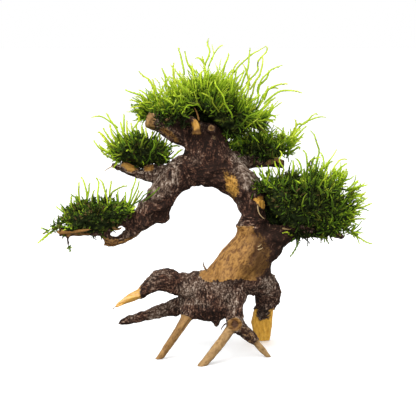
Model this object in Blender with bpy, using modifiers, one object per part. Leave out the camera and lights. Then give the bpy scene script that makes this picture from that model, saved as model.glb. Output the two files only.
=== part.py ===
"""Moss tree: a driftwood root shaped like a small wind-bent tree, with five cushions of moss on its branches.

The wood is one grown piece. Its limbs are tapering tubes along hand-chosen points, blended into one solid,
roughened as bark, sawn flat at its cut ends and at the ground, and parted by thin discs at the main forks,
so that each limb is a solid of its own. Each cushion is a few lobes blended together and hollowed where the
wood passes, with its faces drawn out into tufts that reach the tips of its strands.

Lengths in the tables are millimetres. X is to the right, Y to the back, Z up, with the ground at zero.
"""

from dataclasses import dataclass, field

import bmesh
import bpy
from mathutils import Vector, noise
from mathutils.bvhtree import BVHTree
from mathutils.kdtree import KDTree

# One millimetre in metres, and the gap between pieces that touch.
MM = 0.001
GAP = 0.3

# The wood's skin: how finely the limbs are blended, and how many facets it keeps.
WOOD_VOXEL = 0.7
WOOD_TRIANGLES = 3700
BEVEL_RESOLUTION = 4
SAMPLES_PER_SPAN = 6
THINNEST_TIP = 0.3
CAP_WELD = 0.01

# The bark: how far it stands up or sinks in, the size of its knobs, and the limb radii that it fades in over.
BARK_DEPTH = 1.5
BARK_SCALE = 4.2
BARK_WAVE = 0.9
BARK_THINNEST = 1.8
BARK_THICKEST = 6.0
TWIG_SHARE = 0.12

# The cuts: a saw's side and how much of the end it takes, a disc's reach past the limb, and the ground block.
SAW_SIDE = 3.2
SAW_TAKES = 0.8
DISC_FACTOR = 1.55
DISC_MARGIN = 1.2
DISC_SIDES = 24
GROUND_SIDE = 120
GROUND_DEPTH = 20
SMALLEST_BODY = 30

# The hollow under the left limb, and the corner cut from the slab of the right root.
HOLLOW_AT = (-22.5, -12.5, 66.5)
HOLLOW_RADII = (5.2, 4.2, 3.6)
CORNER_AT = (22.4, 19, 3.6)
CORNER_AXIS = (-0.9, 0, -0.44)
CORNER_SIDE = 16

# The moss: its blending, the clearance of the pockets that hold the wood, and its lumps.
MOSS_VOXEL = 1.3
LOBE_DETAIL = 4
POCKET_TRIANGLES = 2600
POCKET_GAP = 0.8
LUMP_HEIGHT = 1.6
LUMP_SCALE = 6.0

# The tufts: where they may start, how clear of others they stay, and how their length and lean vary.
CLEAR_OF_WOOD = 2.2
CLEAR_OF_OTHERS = 0.7
SMALLEST_FACET = 1.5
MOST_TRIED = 40
SHORTEST_SHARE = 0.25
LOWEST_NORMAL = -0.55
TUFT_BASE = 0.35
TUFT_RISE = 0.9
TUFT_WAVE = 0.8
TUFT_WAVE_SCALE = 2.7
LEAN_SCALES = (3.0, 4.0)
LEAN_UP = 0.55
LEAN_SHARE = 0.6

COLOURS = {
    "bark": ((0.105, 0.066, 0.047), 0.85),
    "peeled": ((0.47, 0.27, 0.10), 0.6),
    "moss": ((0.10, 0.23, 0.02), 0.75),
}
PEELED = {"lower_trunk", "front_left_prong", "front_twig", "right_twig"}


@dataclass
class Limb:
    """A stretch of wood: its node, its points (x, y, z, radius), and where it leaves the parent's node.

    The split is counted in points along the limb. The disc that parts it there is a little wider than the
    limb unless the disc's own radius is given. A limb with a disc of zero is parted by its neighbour's disc.
    """

    node: str
    points: list
    parent: str = ""
    split: float = 0.0
    disc: float = -1.0
    sawn: bool = False


@dataclass
class Cushion:
    """A moss cushion: its lobes (x, y, z, three radii), face count, tuft length and far strand tips."""

    lobes: list
    faces: int
    tuft: float
    tips: list = field(default_factory=list)


BURL = [
    Limb("root_burl", [(-6, -5, 28.5, 11), (2, -5, 28.5, 12), (7, -5, 30, 11), (11, -5, 34.5, 9)]),
    Limb("root_burl", [(4, -5, 26, 9), (10, -6, 26.6, 6)]),
    Limb("root_burl", [(3, -8, 20, 3), (3.8, -9, 16.5, 1.6), (4.2, -9, 14.6, 0.7)]),
    Limb("root_burl", [(10, -4, 36, 8), (20, -3, 37.4, 7.4)]),
]
TRUNK = [
    Limb(
        "lower_trunk",
        [(5, -6, 31, 8.5), (10.4, -5.5, 40, 9), (17.4, -5, 49, 9), (22, -5, 56, 8.2)],
        "root_burl", 0.85, disc=0,
    ),
    Limb(
        "lower_trunk",
        [(19, -4, 33, 8), (20.4, -4, 41, 7.5), (25, -4, 48, 7.5), (28.4, -5, 54, 7.4)],
        "root_burl", 0.65, disc=0,
    ),
    Limb("lower_trunk", [(12.4, -5, 32, 4), (14.4, -5, 42, 4)], "root_burl", 0.6, disc=20),
    Limb(
        "upper_trunk",
        [(22, -5, 56, 8.5), (21, -5, 64.5, 6.7), (19.8, -5, 71, 6.1), (18.5, -4, 78, 7.4)]
        + [(12.5, -4, 84, 8.2), (5.5, -4, 89, 9.2), (-0.9, -4, 91.5, 10), (-0.9, -3, 98.5, 10)]
        + [(-0.5, -3, 104, 9), (0, -2, 109, 6)],
        "lower_trunk", 0.75,
    ),
    Limb("upper_trunk", [(19, -6, 72, 4), (22.5, -9, 72.3, 2.9), (25.6, -12, 72.6, 2.7)], sawn=True),
    Limb("upper_trunk", [(1.5, -8, 106, 3), (1.5, -14, 108.4, 2.2)], sawn=True),
]
CROWN = [
    Limb(
        "crown_limb",
        [(-1, -3, 102, 7.5), (-12, -3, 105.5, 6), (-19.6, -3, 109.3, 4.8), (-27.6, -3, 112, 4)],
        "upper_trunk", 1.0, disc=9.2, sawn=True,
    ),
    Limb(
        "crown_limb",
        [(-17, -5, 109, 3), (-12.5, -11.5, 111.5, 1.8), (-6.8, -16, 112.2, 1.6), (-5.2, -17.4, 108.6, 2.1)]
        + [(-5.1, -17.8, 104.8, 2.3)],
        sawn=True,
    ),
]
LEFT = [
    Limb(
        "left_limb",
        [(-2, -4, 90.5, 9), (-11.7, -5, 87, 7.6), (-18.7, -5.5, 79.8, 6.7), (-24, -6, 71.8, 6.4)]
        + [(-30.2, -6, 65.4, 5.2), (-34.5, -6, 63.2, 4.6)],
        "upper_trunk", 0.95,
    ),
    Limb("left_limb", [(-13.5, -4.5, 85.5, 6), (-19, -4, 84.4, 4.4)]),
    Limb("left_limb", [(-22.4, -5.5, 68, 4.6), (-20.2, -5, 63.8, 3.0)]),
    Limb(
        "left_low_branch",
        [(-30.2, -6, 65.4, 5.2), (-35.4, -6, 64.4, 4.1), (-41.8, -6, 64.8, 2.6), (-48.8, -6, 61.2, 3.2)]
        + [(-55.4, -6, 59.8, 2.5), (-62.3, -6, 59.2, 2.1), (-69.4, -6, 59.2, 2.1)],
        "left_limb", 0.85, disc=9.5,
    ),
    Limb(
        "left_low_branch",
        [(-33, -6, 61.6, 3.6), (-37.6, -6, 57.2, 2.5), (-42.4, -6, 54.8, 2.0), (-46.6, -6, 55.6, 2.0)]
        + [(-48.8, -6, 59.8, 2.6)],
    ),
    Limb("left_low_branch", [(-41, -6, 55.4, 2), (-45, -6.5, 53.8, 1.5), (-49, -7, 53.4, 0.6)]),
    Limb("left_low_branch", [(-64.5, -7, 59.2, 1.3), (-65.6, -7.5, 55.6, 0.9), (-64.4, -7.8, 51.6, 0.6)]),
    Limb(
        "left_middle_branch",
        [(-19, -4, 83.8, 4), (-23.6, -3, 84.2, 2.7), (-28.6, -2, 84.7, 2.1), (-34.6, -2, 86.3, 1.9)]
        + [(-40.2, -2, 88.5, 1.5), (-45.2, -2, 90.3, 0.9)],
        "left_limb", 1.4, disc=0,
    ),
    Limb(
        "left_middle_branch",
        [(-18, -3.5, 87, 3.2), (-23, -3, 88.7, 2), (-27.4, -3, 88.9, 1.5), (-30.6, -3.2, 89.1, 1.3)],
        "left_limb", 1.5, disc=0, sawn=True,
    ),
    Limb(
        "left_middle_branch",
        [(-22, -2.8, 86, 1.3), (-25.6, -2.7, 86.6, 1.3), (-29, -2.6, 87, 1.1)],
        "left_limb", 1.0, disc=5.4,
    ),
    Limb(
        "left_middle_branch",
        [(-31.8, -2, 85.5, 2.0), (-34, -2.2, 88, 1.6), (-37, -2.6, 89.9, 1.3), (-40.4, -3, 91.5, 1.0)],
    ),
]
RIGHT = [
    Limb(
        "right_branch",
        [(23, -5, 55, 7.6), (31.4, -6, 56.8, 6), (39.6, -7, 60, 4.3), (48.4, -8, 61.4, 3.3)]
        + [(56.8, -8, 59.6, 2.2), (63.2, -8, 56.5, 1.1)],
        "lower_trunk", 1.6,
    ),
    Limb("right_branch", [(45, -8, 60.5, 2.6), (45.6, -8.6, 56, 2.0)], sawn=True),
    Limb(
        "right_upper_branch",
        [(9, -2, 90, 6.5), (17, 3, 91.8, 4.2), (23.8, 8, 91, 3.2), (30.4, 11, 90.4, 2.7)]
        + [(36.4, 12, 88.6, 1.7)],
        "upper_trunk", 1.2,
    ),
]
ROOTS = [
    Limb(
        "left_root",
        [(-6, -5, 33, 8), (-13.3, -5.5, 34, 5.5), (-19.8, -6.5, 36.2, 5), (-25, -7.5, 35.2, 4.2)]
        + [(-30.1, -9, 31.4, 3), (-36, -10.5, 28.8, 2.4), (-40.6, -12, 26.5, 1.5), (-44.8, -13, 23.4, 0.5)],
        "root_burl", 0.95,
    ),
    Limb(
        "back_left_root",
        [(-5, -1, 27, 6.5), (-16, 4, 21, 4), (-28, 8, 16.6, 2.8), (-38, 11, 13.2, 1.9), (-44, 12, 11, 0.8)],
        "root_burl", 0.85,
    ),
    Limb(
        "front_left_prong",
        [(-7, -8, 25, 5), (-10.6, -12, 18.6, 2.6), (-15.8, -12.5, 10.4, 2.2), (-22.6, -13, 0.4, 1.9)]
        + [(-24, -13.1, -1.8, 1.9)],
        "root_burl", 0.8,
    ),
    Limb(
        "fork_leg",
        [(12, -8, 30, 6), (12.4, -12.5, 24, 4.2), (12.4, -14.4, 17.4, 3.7)],
        "root_burl", 1.7, disc=5.8,
    ),
    Limb("fork_leg", [(12.4, -14, 18, 3.2), (12.4, -18.2, 17.7, 2.6)], sawn=True),
    Limb(
        "front_twig",
        [(12.4, -14, 17.4, 3.2), (9.6, -16, 14, 2.1), (3.2, -21, 6.4, 1.8), (-3, -25, -0.2, 1.8)]
        + [(-4.2, -25.8, -1.6, 1.8)],
        "fork_leg", 0.85,
    ),
    Limb(
        "right_twig",
        [(12.6, -14, 17, 3.2), (16.2, -13.4, 13.8, 2.8), (20.8, -12, 9.3, 2.4), (22.4, -11.4, 7.4, 1.6)]
        + [(27.8, -9.4, 0.9, 1.4), (29.4, -8.8, -1.2, 1.4)],
        "fork_leg", 0.8,
    ),
    Limb(
        "right_root",
        [(16, -4, 38, 7), (24.2, -1.5, 35, 7.4), (28.2, 3, 28.6, 6.6), (27.8, 6.8, 22, 5)]
        + [(26.8, 11, 15.5, 2.6)],
        "root_burl", 1.5, disc=11,
    ),
    Limb(
        "right_root",
        [(24.4, 8.5, 20, 2.3), (23.2, 15.5, 11, 2.3), (24.6, 21.5, 3, 2.3), (25.4, 25, -2, 2.3)],
    ),
    Limb("right_root", [(27, 8.5, 20, 2.4), (26.6, 15.5, 11, 2.5), (26.6, 25, -2, 2.5)]),
    Limb("right_root", [(29.6, 8.5, 20, 2.3), (29.4, 15.5, 11, 2.3), (28.6, 25, -2, 2.3)]),
]
LIMBS = BURL + TRUNK + CROWN + LEFT + RIGHT + ROOTS

CUSHIONS = {
    "moss_crown": Cushion(
        lobes=[
            (-17, -3, 116, 12, 13, 7), (-6, -4, 119, 14, 16, 10), (6, -4, 119, 14, 17, 11),
            (17, -2, 116, 12, 14, 8), (0, 5, 116, 17, 12, 9), (24, 0, 111, 7, 9, 4),
        ],
        faces=350,
        tuft=6.0,
        tips=[
            (1, -4, 150), (-12, -6, 141), (13, -8, 146), (25, -4, 145), (36, -4, 132), (43, 0, 123),
            (-40, -2, 125), (-33, -6, 116), (-27, 2, 136), (6, -24, 136), (-18, -22, 130), (20, -22, 130),
            (4, 26, 134), (-18, 20, 132), (22, 20, 130), (34, -14, 116), (2, -28, 120),
        ],
    ),
    "moss_left_middle": Cushion(
        lobes=[(-40, -3, 97, 8, 10, 6), (-32, -3, 98.5, 9, 12, 7.5), (-23.5, -2, 96.5, 6.5, 9, 5.5)],
        faces=215,
        tuft=5.0,
        tips=[
            (-54.5, -3, 112), (-53.5, -5, 101), (-46, -6, 115), (-39, -4, 117), (-33, -6, 114),
            (-50, -12, 108), (-36, -18, 108), (-34, 14, 108), (-48, 8, 106), (-15, -4, 99),
        ],
    ),
    "moss_left_low": Cushion(
        lobes=[(-61.5, -6, 65, 8.5, 9, 4.6), (-52.5, -6, 67.5, 9.5, 11, 6.8), (-42.5, -6, 68, 8.5, 10, 6)],
        faces=230,
        tuft=4.6,
        tips=[
            (-60, -7, 84), (-52, -6, 85), (-34, -6, 85), (-45, -4, 83), (-38, -3, 81), (-70, -7, 74),
            (-79.6, -8, 57), (-73, -6, 68), (-56, -20, 76), (-44, -20, 76), (-58, 8, 74), (-44, 8, 75),
        ],
    ),
    "moss_right_upper": Cushion(
        lobes=[(19, 11, 97.5, 8, 9, 6), (29.5, 12, 97, 9.5, 9.5, 6)],
        faces=200,
        tuft=4.6,
        tips=[
            (56, 10, 112), (48, 12, 110), (42, 10, 103), (30, 22, 110), (18, 24, 108), (36, 2, 110),
            (24, 0, 108),
        ],
    ),
    "moss_right": Cushion(
        lobes=[
            (34, -9, 75, 10.5, 13, 12), (46, -9, 73, 13, 15, 12), (57, -8, 67, 8.5, 11, 8.5),
            (32, -6, 84, 7, 9, 6),
        ],
        faces=330,
        tuft=5.6,
        tips=[
            (77, -10, 53.5), (76.5, -8, 72.5), (74, -8, 81), (65, -10, 93.5), (50, -9, 106), (41, -8, 101),
            (58, -8, 97), (70, -8, 63), (52, -30, 82), (36, -28, 84), (66, -22, 78), (48, 12, 86),
            (64, 6, 82), (36, 8, 92), (40, -8, 50.5), (30, -20, 92),
        ],
    ),
}


def clear_scene():
    """Empties the startup scene."""
    for obj in list(bpy.data.objects):
        bpy.data.objects.remove(obj, do_unlink=True)


def new_collection(name, parent=None):
    """A collection linked to its parent, or to the scene."""
    collection = bpy.data.collections.new(name)
    (parent or bpy.context.scene.collection).children.link(collection)
    return collection


def material(name, finish):
    """A Principled material of one colour and roughness."""
    colour, roughness = COLOURS[finish]
    made = bpy.data.materials.new(name)
    made.use_nodes = True
    shader = made.node_tree.nodes["Principled BSDF"]
    shader.inputs["Base Color"].default_value = (*colour, 1)
    shader.inputs["Roughness"].default_value = roughness
    shader.inputs["Metallic"].default_value = 0
    return made


def smooth_path(points):
    """The limb's points with a Catmull-Rom curve through them, as rows of x, y, z and radius."""
    rows = [Vector(point) for point in points]
    ends = [rows[0] * 2 - rows[1]] + rows + [rows[-1] * 2 - rows[-2]]
    path = []
    for i in range(1, len(ends) - 2):
        a, b, c, d = ends[i - 1:i + 3]
        for step in range(SAMPLES_PER_SPAN):
            t = step / SAMPLES_PER_SPAN
            bend = (2 * a - 5 * b + 4 * c - d) * t**2 + (3 * b - a - 3 * c + d) * t**3
            row = 0.5 * (2 * b + (c - a) * t + bend)
            row[3] = max(row[3], THINNEST_TIP)
            path.append(row)
    return path + [rows[-1]]


def tube(limb):
    """A capped tube of changing radius along a limb, as a mesh."""
    path = smooth_path(limb.points)
    curve = bpy.data.curves.new("limb", "CURVE")
    curve.dimensions = "3D"
    curve.bevel_depth = MM
    curve.bevel_resolution = BEVEL_RESOLUTION
    curve.use_fill_caps = True
    spline = curve.splines.new("POLY")
    spline.points.add(len(path) - 1)
    for point, row in zip(spline.points, path):
        point.co = (*(row.to_3d() * MM), 1)
        point.radius = row[3]
    guide = bpy.data.objects.new("limb", curve)
    bpy.context.scene.collection.objects.link(guide)
    graph = bpy.context.evaluated_depsgraph_get()
    mesh = bpy.data.meshes.new_from_object(guide.evaluated_get(graph))
    bpy.data.objects.remove(guide)
    return mesh


def joined(meshes, name):
    """One object in the scene that holds every mesh, with the points of loose caps welded."""
    work = bmesh.new()
    for mesh in meshes:
        work.from_mesh(mesh)
    bmesh.ops.remove_doubles(work, verts=work.verts, dist=CAP_WELD * MM)
    result = bpy.data.meshes.new(name)
    work.to_mesh(result)
    work.free()
    obj = bpy.data.objects.new(name, result)
    bpy.context.scene.collection.objects.link(obj)
    return obj


def applied(obj):
    """Turns an object's modifiers into its mesh."""
    graph = bpy.context.evaluated_depsgraph_get()
    mesh = bpy.data.meshes.new_from_object(obj.evaluated_get(graph))
    obj.modifiers.clear()
    obj.data = mesh
    return obj


def remesh(obj, voxel):
    """Blends what overlaps in an object into one skin."""
    modifier = obj.modifiers.new("blend", "REMESH")
    modifier.mode = "VOXEL"
    modifier.voxel_size = voxel * MM
    return applied(obj)


def decimate(obj, triangles):
    """Brings an object down to about this many triangles."""
    obj.data.calc_loop_triangles()
    modifier = obj.modifiers.new("facets", "DECIMATE")
    modifier.ratio = triangles / len(obj.data.loop_triangles)
    modifier.use_collapse_triangulate = True
    return applied(obj)


def limb_tree():
    """A search tree over points along every limb, and each point's place, node and radius."""
    rows = []
    for limb in LIMBS:
        for i, row in enumerate(smooth_path(limb.points)):
            owner = limb.parent if limb.parent and i / SAMPLES_PER_SPAN < limb.split else limb.node
            rows.append((row.to_3d() * MM, owner, row[3]))
    tree = KDTree(len(rows))
    for i, row in enumerate(rows):
        tree.insert(row[0], i)
    tree.balance()
    return tree, rows


def roughen(obj, tree, rows):
    """Raises bark knobs on the thick wood and leaves the thin twigs nearly smooth."""
    normals = [vertex.normal.copy() for vertex in obj.data.vertices]
    for vertex, normal in zip(obj.data.vertices, normals):
        radius = rows[tree.find(vertex.co)[1]][2]
        thick = (radius - BARK_THINNEST) / (BARK_THICKEST - BARK_THINNEST)
        share = min(1, max(TWIG_SHARE, thick))
        at = vertex.co / (BARK_SCALE * MM)
        waves = noise.noise(at * 0.5) * BARK_WAVE
        knobs = noise.fractal(at, 0.9, 2.1, 3)
        vertex.co += normal * (BARK_DEPTH * MM * share * (waves + knobs))


def solid_box(name, centre, sides, axis):
    """A box cutter whose own Z runs along an axis."""
    bpy.ops.mesh.primitive_cube_add(size=1, location=Vector(centre) * MM)
    box = bpy.context.object
    box.name = name
    box.rotation_euler = Vector(axis).to_track_quat("Z", "Y").to_euler()
    box.scale = Vector(sides) * MM
    return box


def as_cutters(objects, collection):
    """Marks objects as guides and keeps them in their own collection."""
    for obj in objects:
        obj.hide_render = True
        obj.display_type = "WIRE"
        for old in obj.users_collection:
            old.objects.unlink(obj)
        collection.objects.link(obj)


def end_saw(limb):
    """A box that cuts a limb's end off square to it."""
    last = Vector(limb.points[-1][:3])
    along = (last - Vector(limb.points[-2][:3])).normalized()
    side = limb.points[-1][3] * SAW_SIDE
    return solid_box("saw", last + along * (side / 2 - SAW_TAKES), (side, side, side), along)


def corner_saw():
    """The box that cuts a corner from the slab of the right root."""
    centre = Vector(CORNER_AT) + Vector(CORNER_AXIS).normalized() * CORNER_SIDE / 2
    return solid_box("corner", centre, (CORNER_SIDE, CORNER_SIDE, CORNER_SIDE), CORNER_AXIS)


def hollow_cutter():
    """The ellipsoid that hollows the underside of the left limb."""
    bpy.ops.mesh.primitive_ico_sphere_add(subdivisions=3, radius=1, location=Vector(HOLLOW_AT) * MM)
    cutter = bpy.context.object
    cutter.name = "hollow"
    cutter.scale = Vector(HOLLOW_RADII) * MM
    return cutter


def split_disc(limb):
    """A disc as thick as the gap, square across a limb where it leaves its parent."""
    path = smooth_path(limb.points)
    at = round(limb.split * SAMPLES_PER_SPAN)
    along = (path[at + 1] - path[at - 1]).to_3d().normalized()
    radius = limb.disc if limb.disc > 0 else path[at][3] * DISC_FACTOR + DISC_MARGIN
    bpy.ops.mesh.primitive_cylinder_add(
        vertices=DISC_SIDES, radius=radius * MM, depth=GAP * MM, location=path[at].to_3d() * MM
    )
    disc = bpy.context.object
    disc.name = "part_" + limb.node
    disc.rotation_euler = along.to_track_quat("Z", "Y").to_euler()
    return disc


def cut(obj, collection, name):
    """Takes a collection of cutters out of an object."""
    bpy.context.view_layer.update()
    modifier = obj.modifiers.new(name, "BOOLEAN")
    modifier.operation = "DIFFERENCE"
    modifier.operand_type = "COLLECTION"
    modifier.collection = collection
    return applied(obj)


def connected(start):
    """Every point that edges join to a point, with the point itself."""
    body = {start}
    stack = [start]
    while stack:
        for edge in stack.pop().link_edges:
            for vert in edge.verts:
                if vert not in body:
                    body.add(vert)
                    stack.append(vert)
    return body


def islands(mesh):
    """The separate bodies of a mesh, as bmeshes, without the smallest chips."""
    whole = bmesh.new()
    whole.from_mesh(mesh)
    bmesh.ops.triangulate(whole, faces=whole.faces)
    left = set(whole.verts)
    made = []
    while left:
        body = connected(next(iter(left)))
        left -= body
        if len(body) < SMALLEST_BODY:
            continue
        piece = bmesh.new()
        copies = {vert: piece.verts.new(vert.co) for vert in body}
        for face in {face for vert in body for face in vert.link_faces}:
            piece.faces.new([copies[vert] for vert in face.verts])
        made.append(piece)
    whole.free()
    return sorted(made, key=lambda piece: len(piece.verts), reverse=True)


def owner_of(piece, tree, rows):
    """The node whose limb most of a body's points lie nearest to."""
    votes = {}
    for vert in piece.verts:
        owner = rows[tree.find(vert.co)[1]][1]
        votes[owner] = votes.get(owner, 0) + 1
    return max(votes, key=votes.get)


def as_part(name, piece, finish, collection, root):
    """A finished part with its origin at the middle of its points."""
    centre = sum((vert.co for vert in piece.verts), Vector()) / len(piece.verts)
    bmesh.ops.translate(piece, verts=piece.verts, vec=-centre)
    mesh = bpy.data.meshes.new(name)
    piece.to_mesh(mesh)
    piece.free()
    mesh.materials.append(material(name, finish))
    obj = bpy.data.objects.new(name, mesh)
    obj.location = centre
    obj.parent = root
    collection.objects.link(obj)


def driftwood(cutters):
    """The whole wood as one object, sawn and flat at the ground but not yet parted."""
    wood = joined([tube(limb) for limb in LIMBS], "driftwood")
    remesh(wood, WOOD_VOXEL)
    roughen(wood, *limb_tree())
    decimate(wood, WOOD_TRIANGLES)
    tools = [end_saw(limb) for limb in LIMBS if limb.sawn]
    ground = (0, 0, -GROUND_DEPTH / 2)
    tools.append(solid_box("ground", ground, (GROUND_SIDE, GROUND_SIDE, GROUND_DEPTH), (0, 0, 1)))
    tools.append(hollow_cutter())
    tools.append(corner_saw())
    saws = new_collection("saws", cutters)
    as_cutters(tools, saws)
    return cut(wood, saws, "saws")


def part_wood(wood, cutters, parts, root):
    """Parts the wood at its forks and makes each limb's largest body a part."""
    discs = new_collection("discs", cutters)
    as_cutters([split_disc(limb) for limb in LIMBS if limb.parent and limb.disc], discs)
    cut(wood, discs, "discs")
    tree, rows = limb_tree()
    made = set()
    for piece in islands(wood.data):
        name = owner_of(piece, tree, rows)
        if name in made:
            piece.free()
            continue
        made.add(name)
        as_part(name, piece, "peeled" if name in PEELED else "bark", parts, root)


def lobe(name, row):
    """One ball of a cushion, stretched to its three radii, as a mesh."""
    work = bmesh.new()
    bmesh.ops.create_icosphere(work, subdivisions=LOBE_DETAIL, radius=1)
    bmesh.ops.scale(work, verts=work.verts, vec=Vector(row[3:]) * MM)
    bmesh.ops.translate(work, verts=work.verts, vec=Vector(row[:3]) * MM)
    mesh = bpy.data.meshes.new(name)
    work.to_mesh(mesh)
    work.free()
    return mesh


def lumpy_body(name, cushion):
    """A cushion's lobes blended, made lumpy and brought down to its faces."""
    body = joined([lobe(name, row) for row in cushion.lobes], name)
    remesh(body, MOSS_VOXEL)
    normals = [vertex.normal.copy() for vertex in body.data.vertices]
    for vertex, normal in zip(body.data.vertices, normals):
        vertex.co += normal * (LUMP_HEIGHT * MM * noise.noise(vertex.co / (LUMP_SCALE * MM)))
    return decimate(body, cushion.faces)


def clear_share(face, apex, blockers):
    """How much of the way from a face to a point is clear of whatever stands in the way."""
    share = 1.0
    for start in [face.calc_center_median()] + [vert.co for vert in face.verts]:
        way = apex - start
        reach = way.length + CLEAR_OF_OTHERS * MM
        for blocker in blockers:
            distance = blocker.ray_cast(start, way, reach)[3]
            if distance is not None:
                share = min(share, (distance - CLEAR_OF_OTHERS * MM) / way.length)
    return share


def far_tufts(cushion, faces, blockers):
    """The tufts that reach the far strand tips, each from the nearest face with a clear way to it."""
    apexes = {}
    for tip in cushion.tips:
        target = Vector(tip) * MM

        def detour(face):
            way = target - face.calc_center_median()
            return way.length - face.normal.dot(way) * 0.5

        nearest = sorted((face for face in faces if face not in apexes), key=detour)[:MOST_TRIED]
        clear = [face for face in nearest if clear_share(face, target, blockers) == 1]
        if clear:
            apexes[clear[0]] = target
    return apexes


def short_tuft(face, length):
    """Where a face's own tuft ends: outwards and a little up, longer on top, with a slow wave."""
    centre = face.calc_center_median()
    lean = [noise.noise(centre / (scale * MM) + Vector((scale, 0, 0))) for scale in LEAN_SCALES]
    way = (face.normal + Vector((*lean, LEAN_UP)) * LEAN_SHARE).normalized()
    up = 0.5 + 0.5 * face.normal.z
    wave = TUFT_WAVE * (1 + noise.noise(centre / (TUFT_WAVE_SCALE * MM)))
    return centre + way * (length * MM * (TUFT_BASE + TUFT_RISE * up) * wave)


def tufted(body, cushion, wood_tree, blockers):
    """A cushion's faces drawn out into tufts, apart from those beside the wood and those that point down."""
    work = bmesh.new()
    work.from_mesh(body)
    bmesh.ops.triangulate(work, faces=work.faces)
    work.normal_update()
    faces = []
    for face in work.faces:
        near = wood_tree.find_nearest(face.calc_center_median())[3]
        if near > CLEAR_OF_WOOD * MM and face.calc_area() > SMALLEST_FACET * MM**2:
            faces.append(face)
    apexes = far_tufts(cushion, faces, blockers)
    for face in faces:
        if face not in apexes and face.normal.z > LOWEST_NORMAL:
            apexes[face] = short_tuft(face, cushion.tuft)
    shares = {face: clear_share(face, apex, blockers) for face, apex in apexes.items()}
    for face, apex in apexes.items():
        if shares[face] < SHORTEST_SHARE:
            continue
        centre = face.calc_center_median()
        made = bmesh.ops.poke(work, faces=[face])
        made["verts"][0].co = centre + (apex - centre) * shares[face]
    bmesh.ops.triangulate(work, faces=work.faces)
    return work


def inflated_wood(wood, cutters):
    """The wood's form a little thicker, which leaves the gap round it when it is cut from the moss."""
    form = bpy.data.objects.new("inflated_wood", wood.data.copy())
    bpy.context.scene.collection.objects.link(form)
    decimate(form, POCKET_TRIANGLES)
    modifier = form.modifiers.new("gap", "DISPLACE")
    modifier.mid_level = 0
    modifier.strength = POCKET_GAP * MM
    applied(form)
    collection = new_collection("pockets", cutters)
    as_cutters([form], collection)
    return form, collection


def search_tree(obj):
    """A tree for ray casts and nearest points on an object."""
    return BVHTree.FromObject(obj, bpy.context.evaluated_depsgraph_get())


def moss(wood, cutters, parts, root):
    """Every cushion, hollowed by the wood with a gap to it and clear of the other cushions."""
    form, pockets = inflated_wood(wood, cutters)
    bodies = {name: lumpy_body(name, cushion) for name, cushion in CUSHIONS.items()}
    bpy.context.view_layer.update()
    wood_tree = search_tree(form)
    trees = {name: search_tree(body) for name, body in bodies.items()}
    for name, body in bodies.items():
        cut(body, pockets, "pocket")
        largest = islands(body.data)[0]
        largest.to_mesh(body.data)
        others = [wood_tree] + [tree for other, tree in trees.items() if other != name]
        work = tufted(body.data, CUSHIONS[name], wood_tree, others)
        trees[name] = BVHTree.FromBMesh(work)
        bpy.data.objects.remove(body)
        as_part(name, work, "moss", parts, root)


def stand_on_origin(root, parts):
    """Moves the root so that the middle of the box round all parts stands on the origin."""
    bpy.context.view_layer.update()
    meshes = [obj for obj in parts.objects if obj.type == "MESH"]
    points = [obj.matrix_world @ vertex.co for obj in meshes for vertex in obj.data.vertices]
    low = [min(point[i] for point in points) for i in range(3)]
    high = [max(point[i] for point in points) for i in range(3)]
    root.location = (-(low[0] + high[0]) / 2, -(low[1] + high[1]) / 2, -low[2])


def main():
    """Makes the wood, hollows the moss round it, and then parts the wood at its forks."""
    clear_scene()
    parts = new_collection("moss_tree")
    cutters = new_collection("cutters")
    root = bpy.data.objects.new("moss_tree_root", None)
    parts.objects.link(root)
    wood = driftwood(cutters)
    moss(wood, cutters, parts, root)
    part_wood(wood, cutters, parts, root)
    bpy.data.objects.remove(wood)
    cutters.hide_render = True
    stand_on_origin(root, parts)


main()
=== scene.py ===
"""Moss tree on driftwood: the looks of a small wind-bent root that carries five cushions of moss.

The wood is one skin, blended from the limbs of the frame and smoothed. It is given its grain, bark, peeled
patches and cut ends, and then parted again, so that each limb of the frame has a piece of its own. Each
cushion of moss is a crumbly dark mat with leafy strands growing out of it.

Lengths are millimetres until a mesh is made. X is to the right, Y to the back, Z up, with the ground at zero.
"""

from __future__ import annotations

import logging
import math
from collections.abc import Callable
from dataclasses import dataclass
from enum import Enum

import bmesh
import bpy
import numpy as np
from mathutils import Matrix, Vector
from mathutils.bvhtree import BVHTree


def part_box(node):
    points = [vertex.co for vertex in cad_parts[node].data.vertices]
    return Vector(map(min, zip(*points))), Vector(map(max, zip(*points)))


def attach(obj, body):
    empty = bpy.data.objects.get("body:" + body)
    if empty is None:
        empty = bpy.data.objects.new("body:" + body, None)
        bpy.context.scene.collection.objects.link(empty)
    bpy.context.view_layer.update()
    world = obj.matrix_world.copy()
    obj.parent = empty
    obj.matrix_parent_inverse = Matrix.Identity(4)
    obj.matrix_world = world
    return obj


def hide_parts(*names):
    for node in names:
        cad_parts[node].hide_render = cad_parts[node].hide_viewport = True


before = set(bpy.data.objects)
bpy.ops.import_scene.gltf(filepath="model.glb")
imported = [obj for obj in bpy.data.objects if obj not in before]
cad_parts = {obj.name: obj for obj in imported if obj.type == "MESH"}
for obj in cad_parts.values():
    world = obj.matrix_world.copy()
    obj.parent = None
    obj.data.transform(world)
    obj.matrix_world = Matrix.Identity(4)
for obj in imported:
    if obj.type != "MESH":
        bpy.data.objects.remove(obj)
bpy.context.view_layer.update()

MM = 0.001
BODY = "root"
LOG = logging.getLogger("moss_tree")
WHOLE_TURN = 2 * math.pi
HASH_STEPS = (73856093, 19349663, 83492791)
HASH_SEED = 2654435761
HASH_MIXES = (1274126177, 2246822519)
HASH_BITS = 0xFFFFFFFF
HASH_PARTS = 0xFFFFFF

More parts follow.
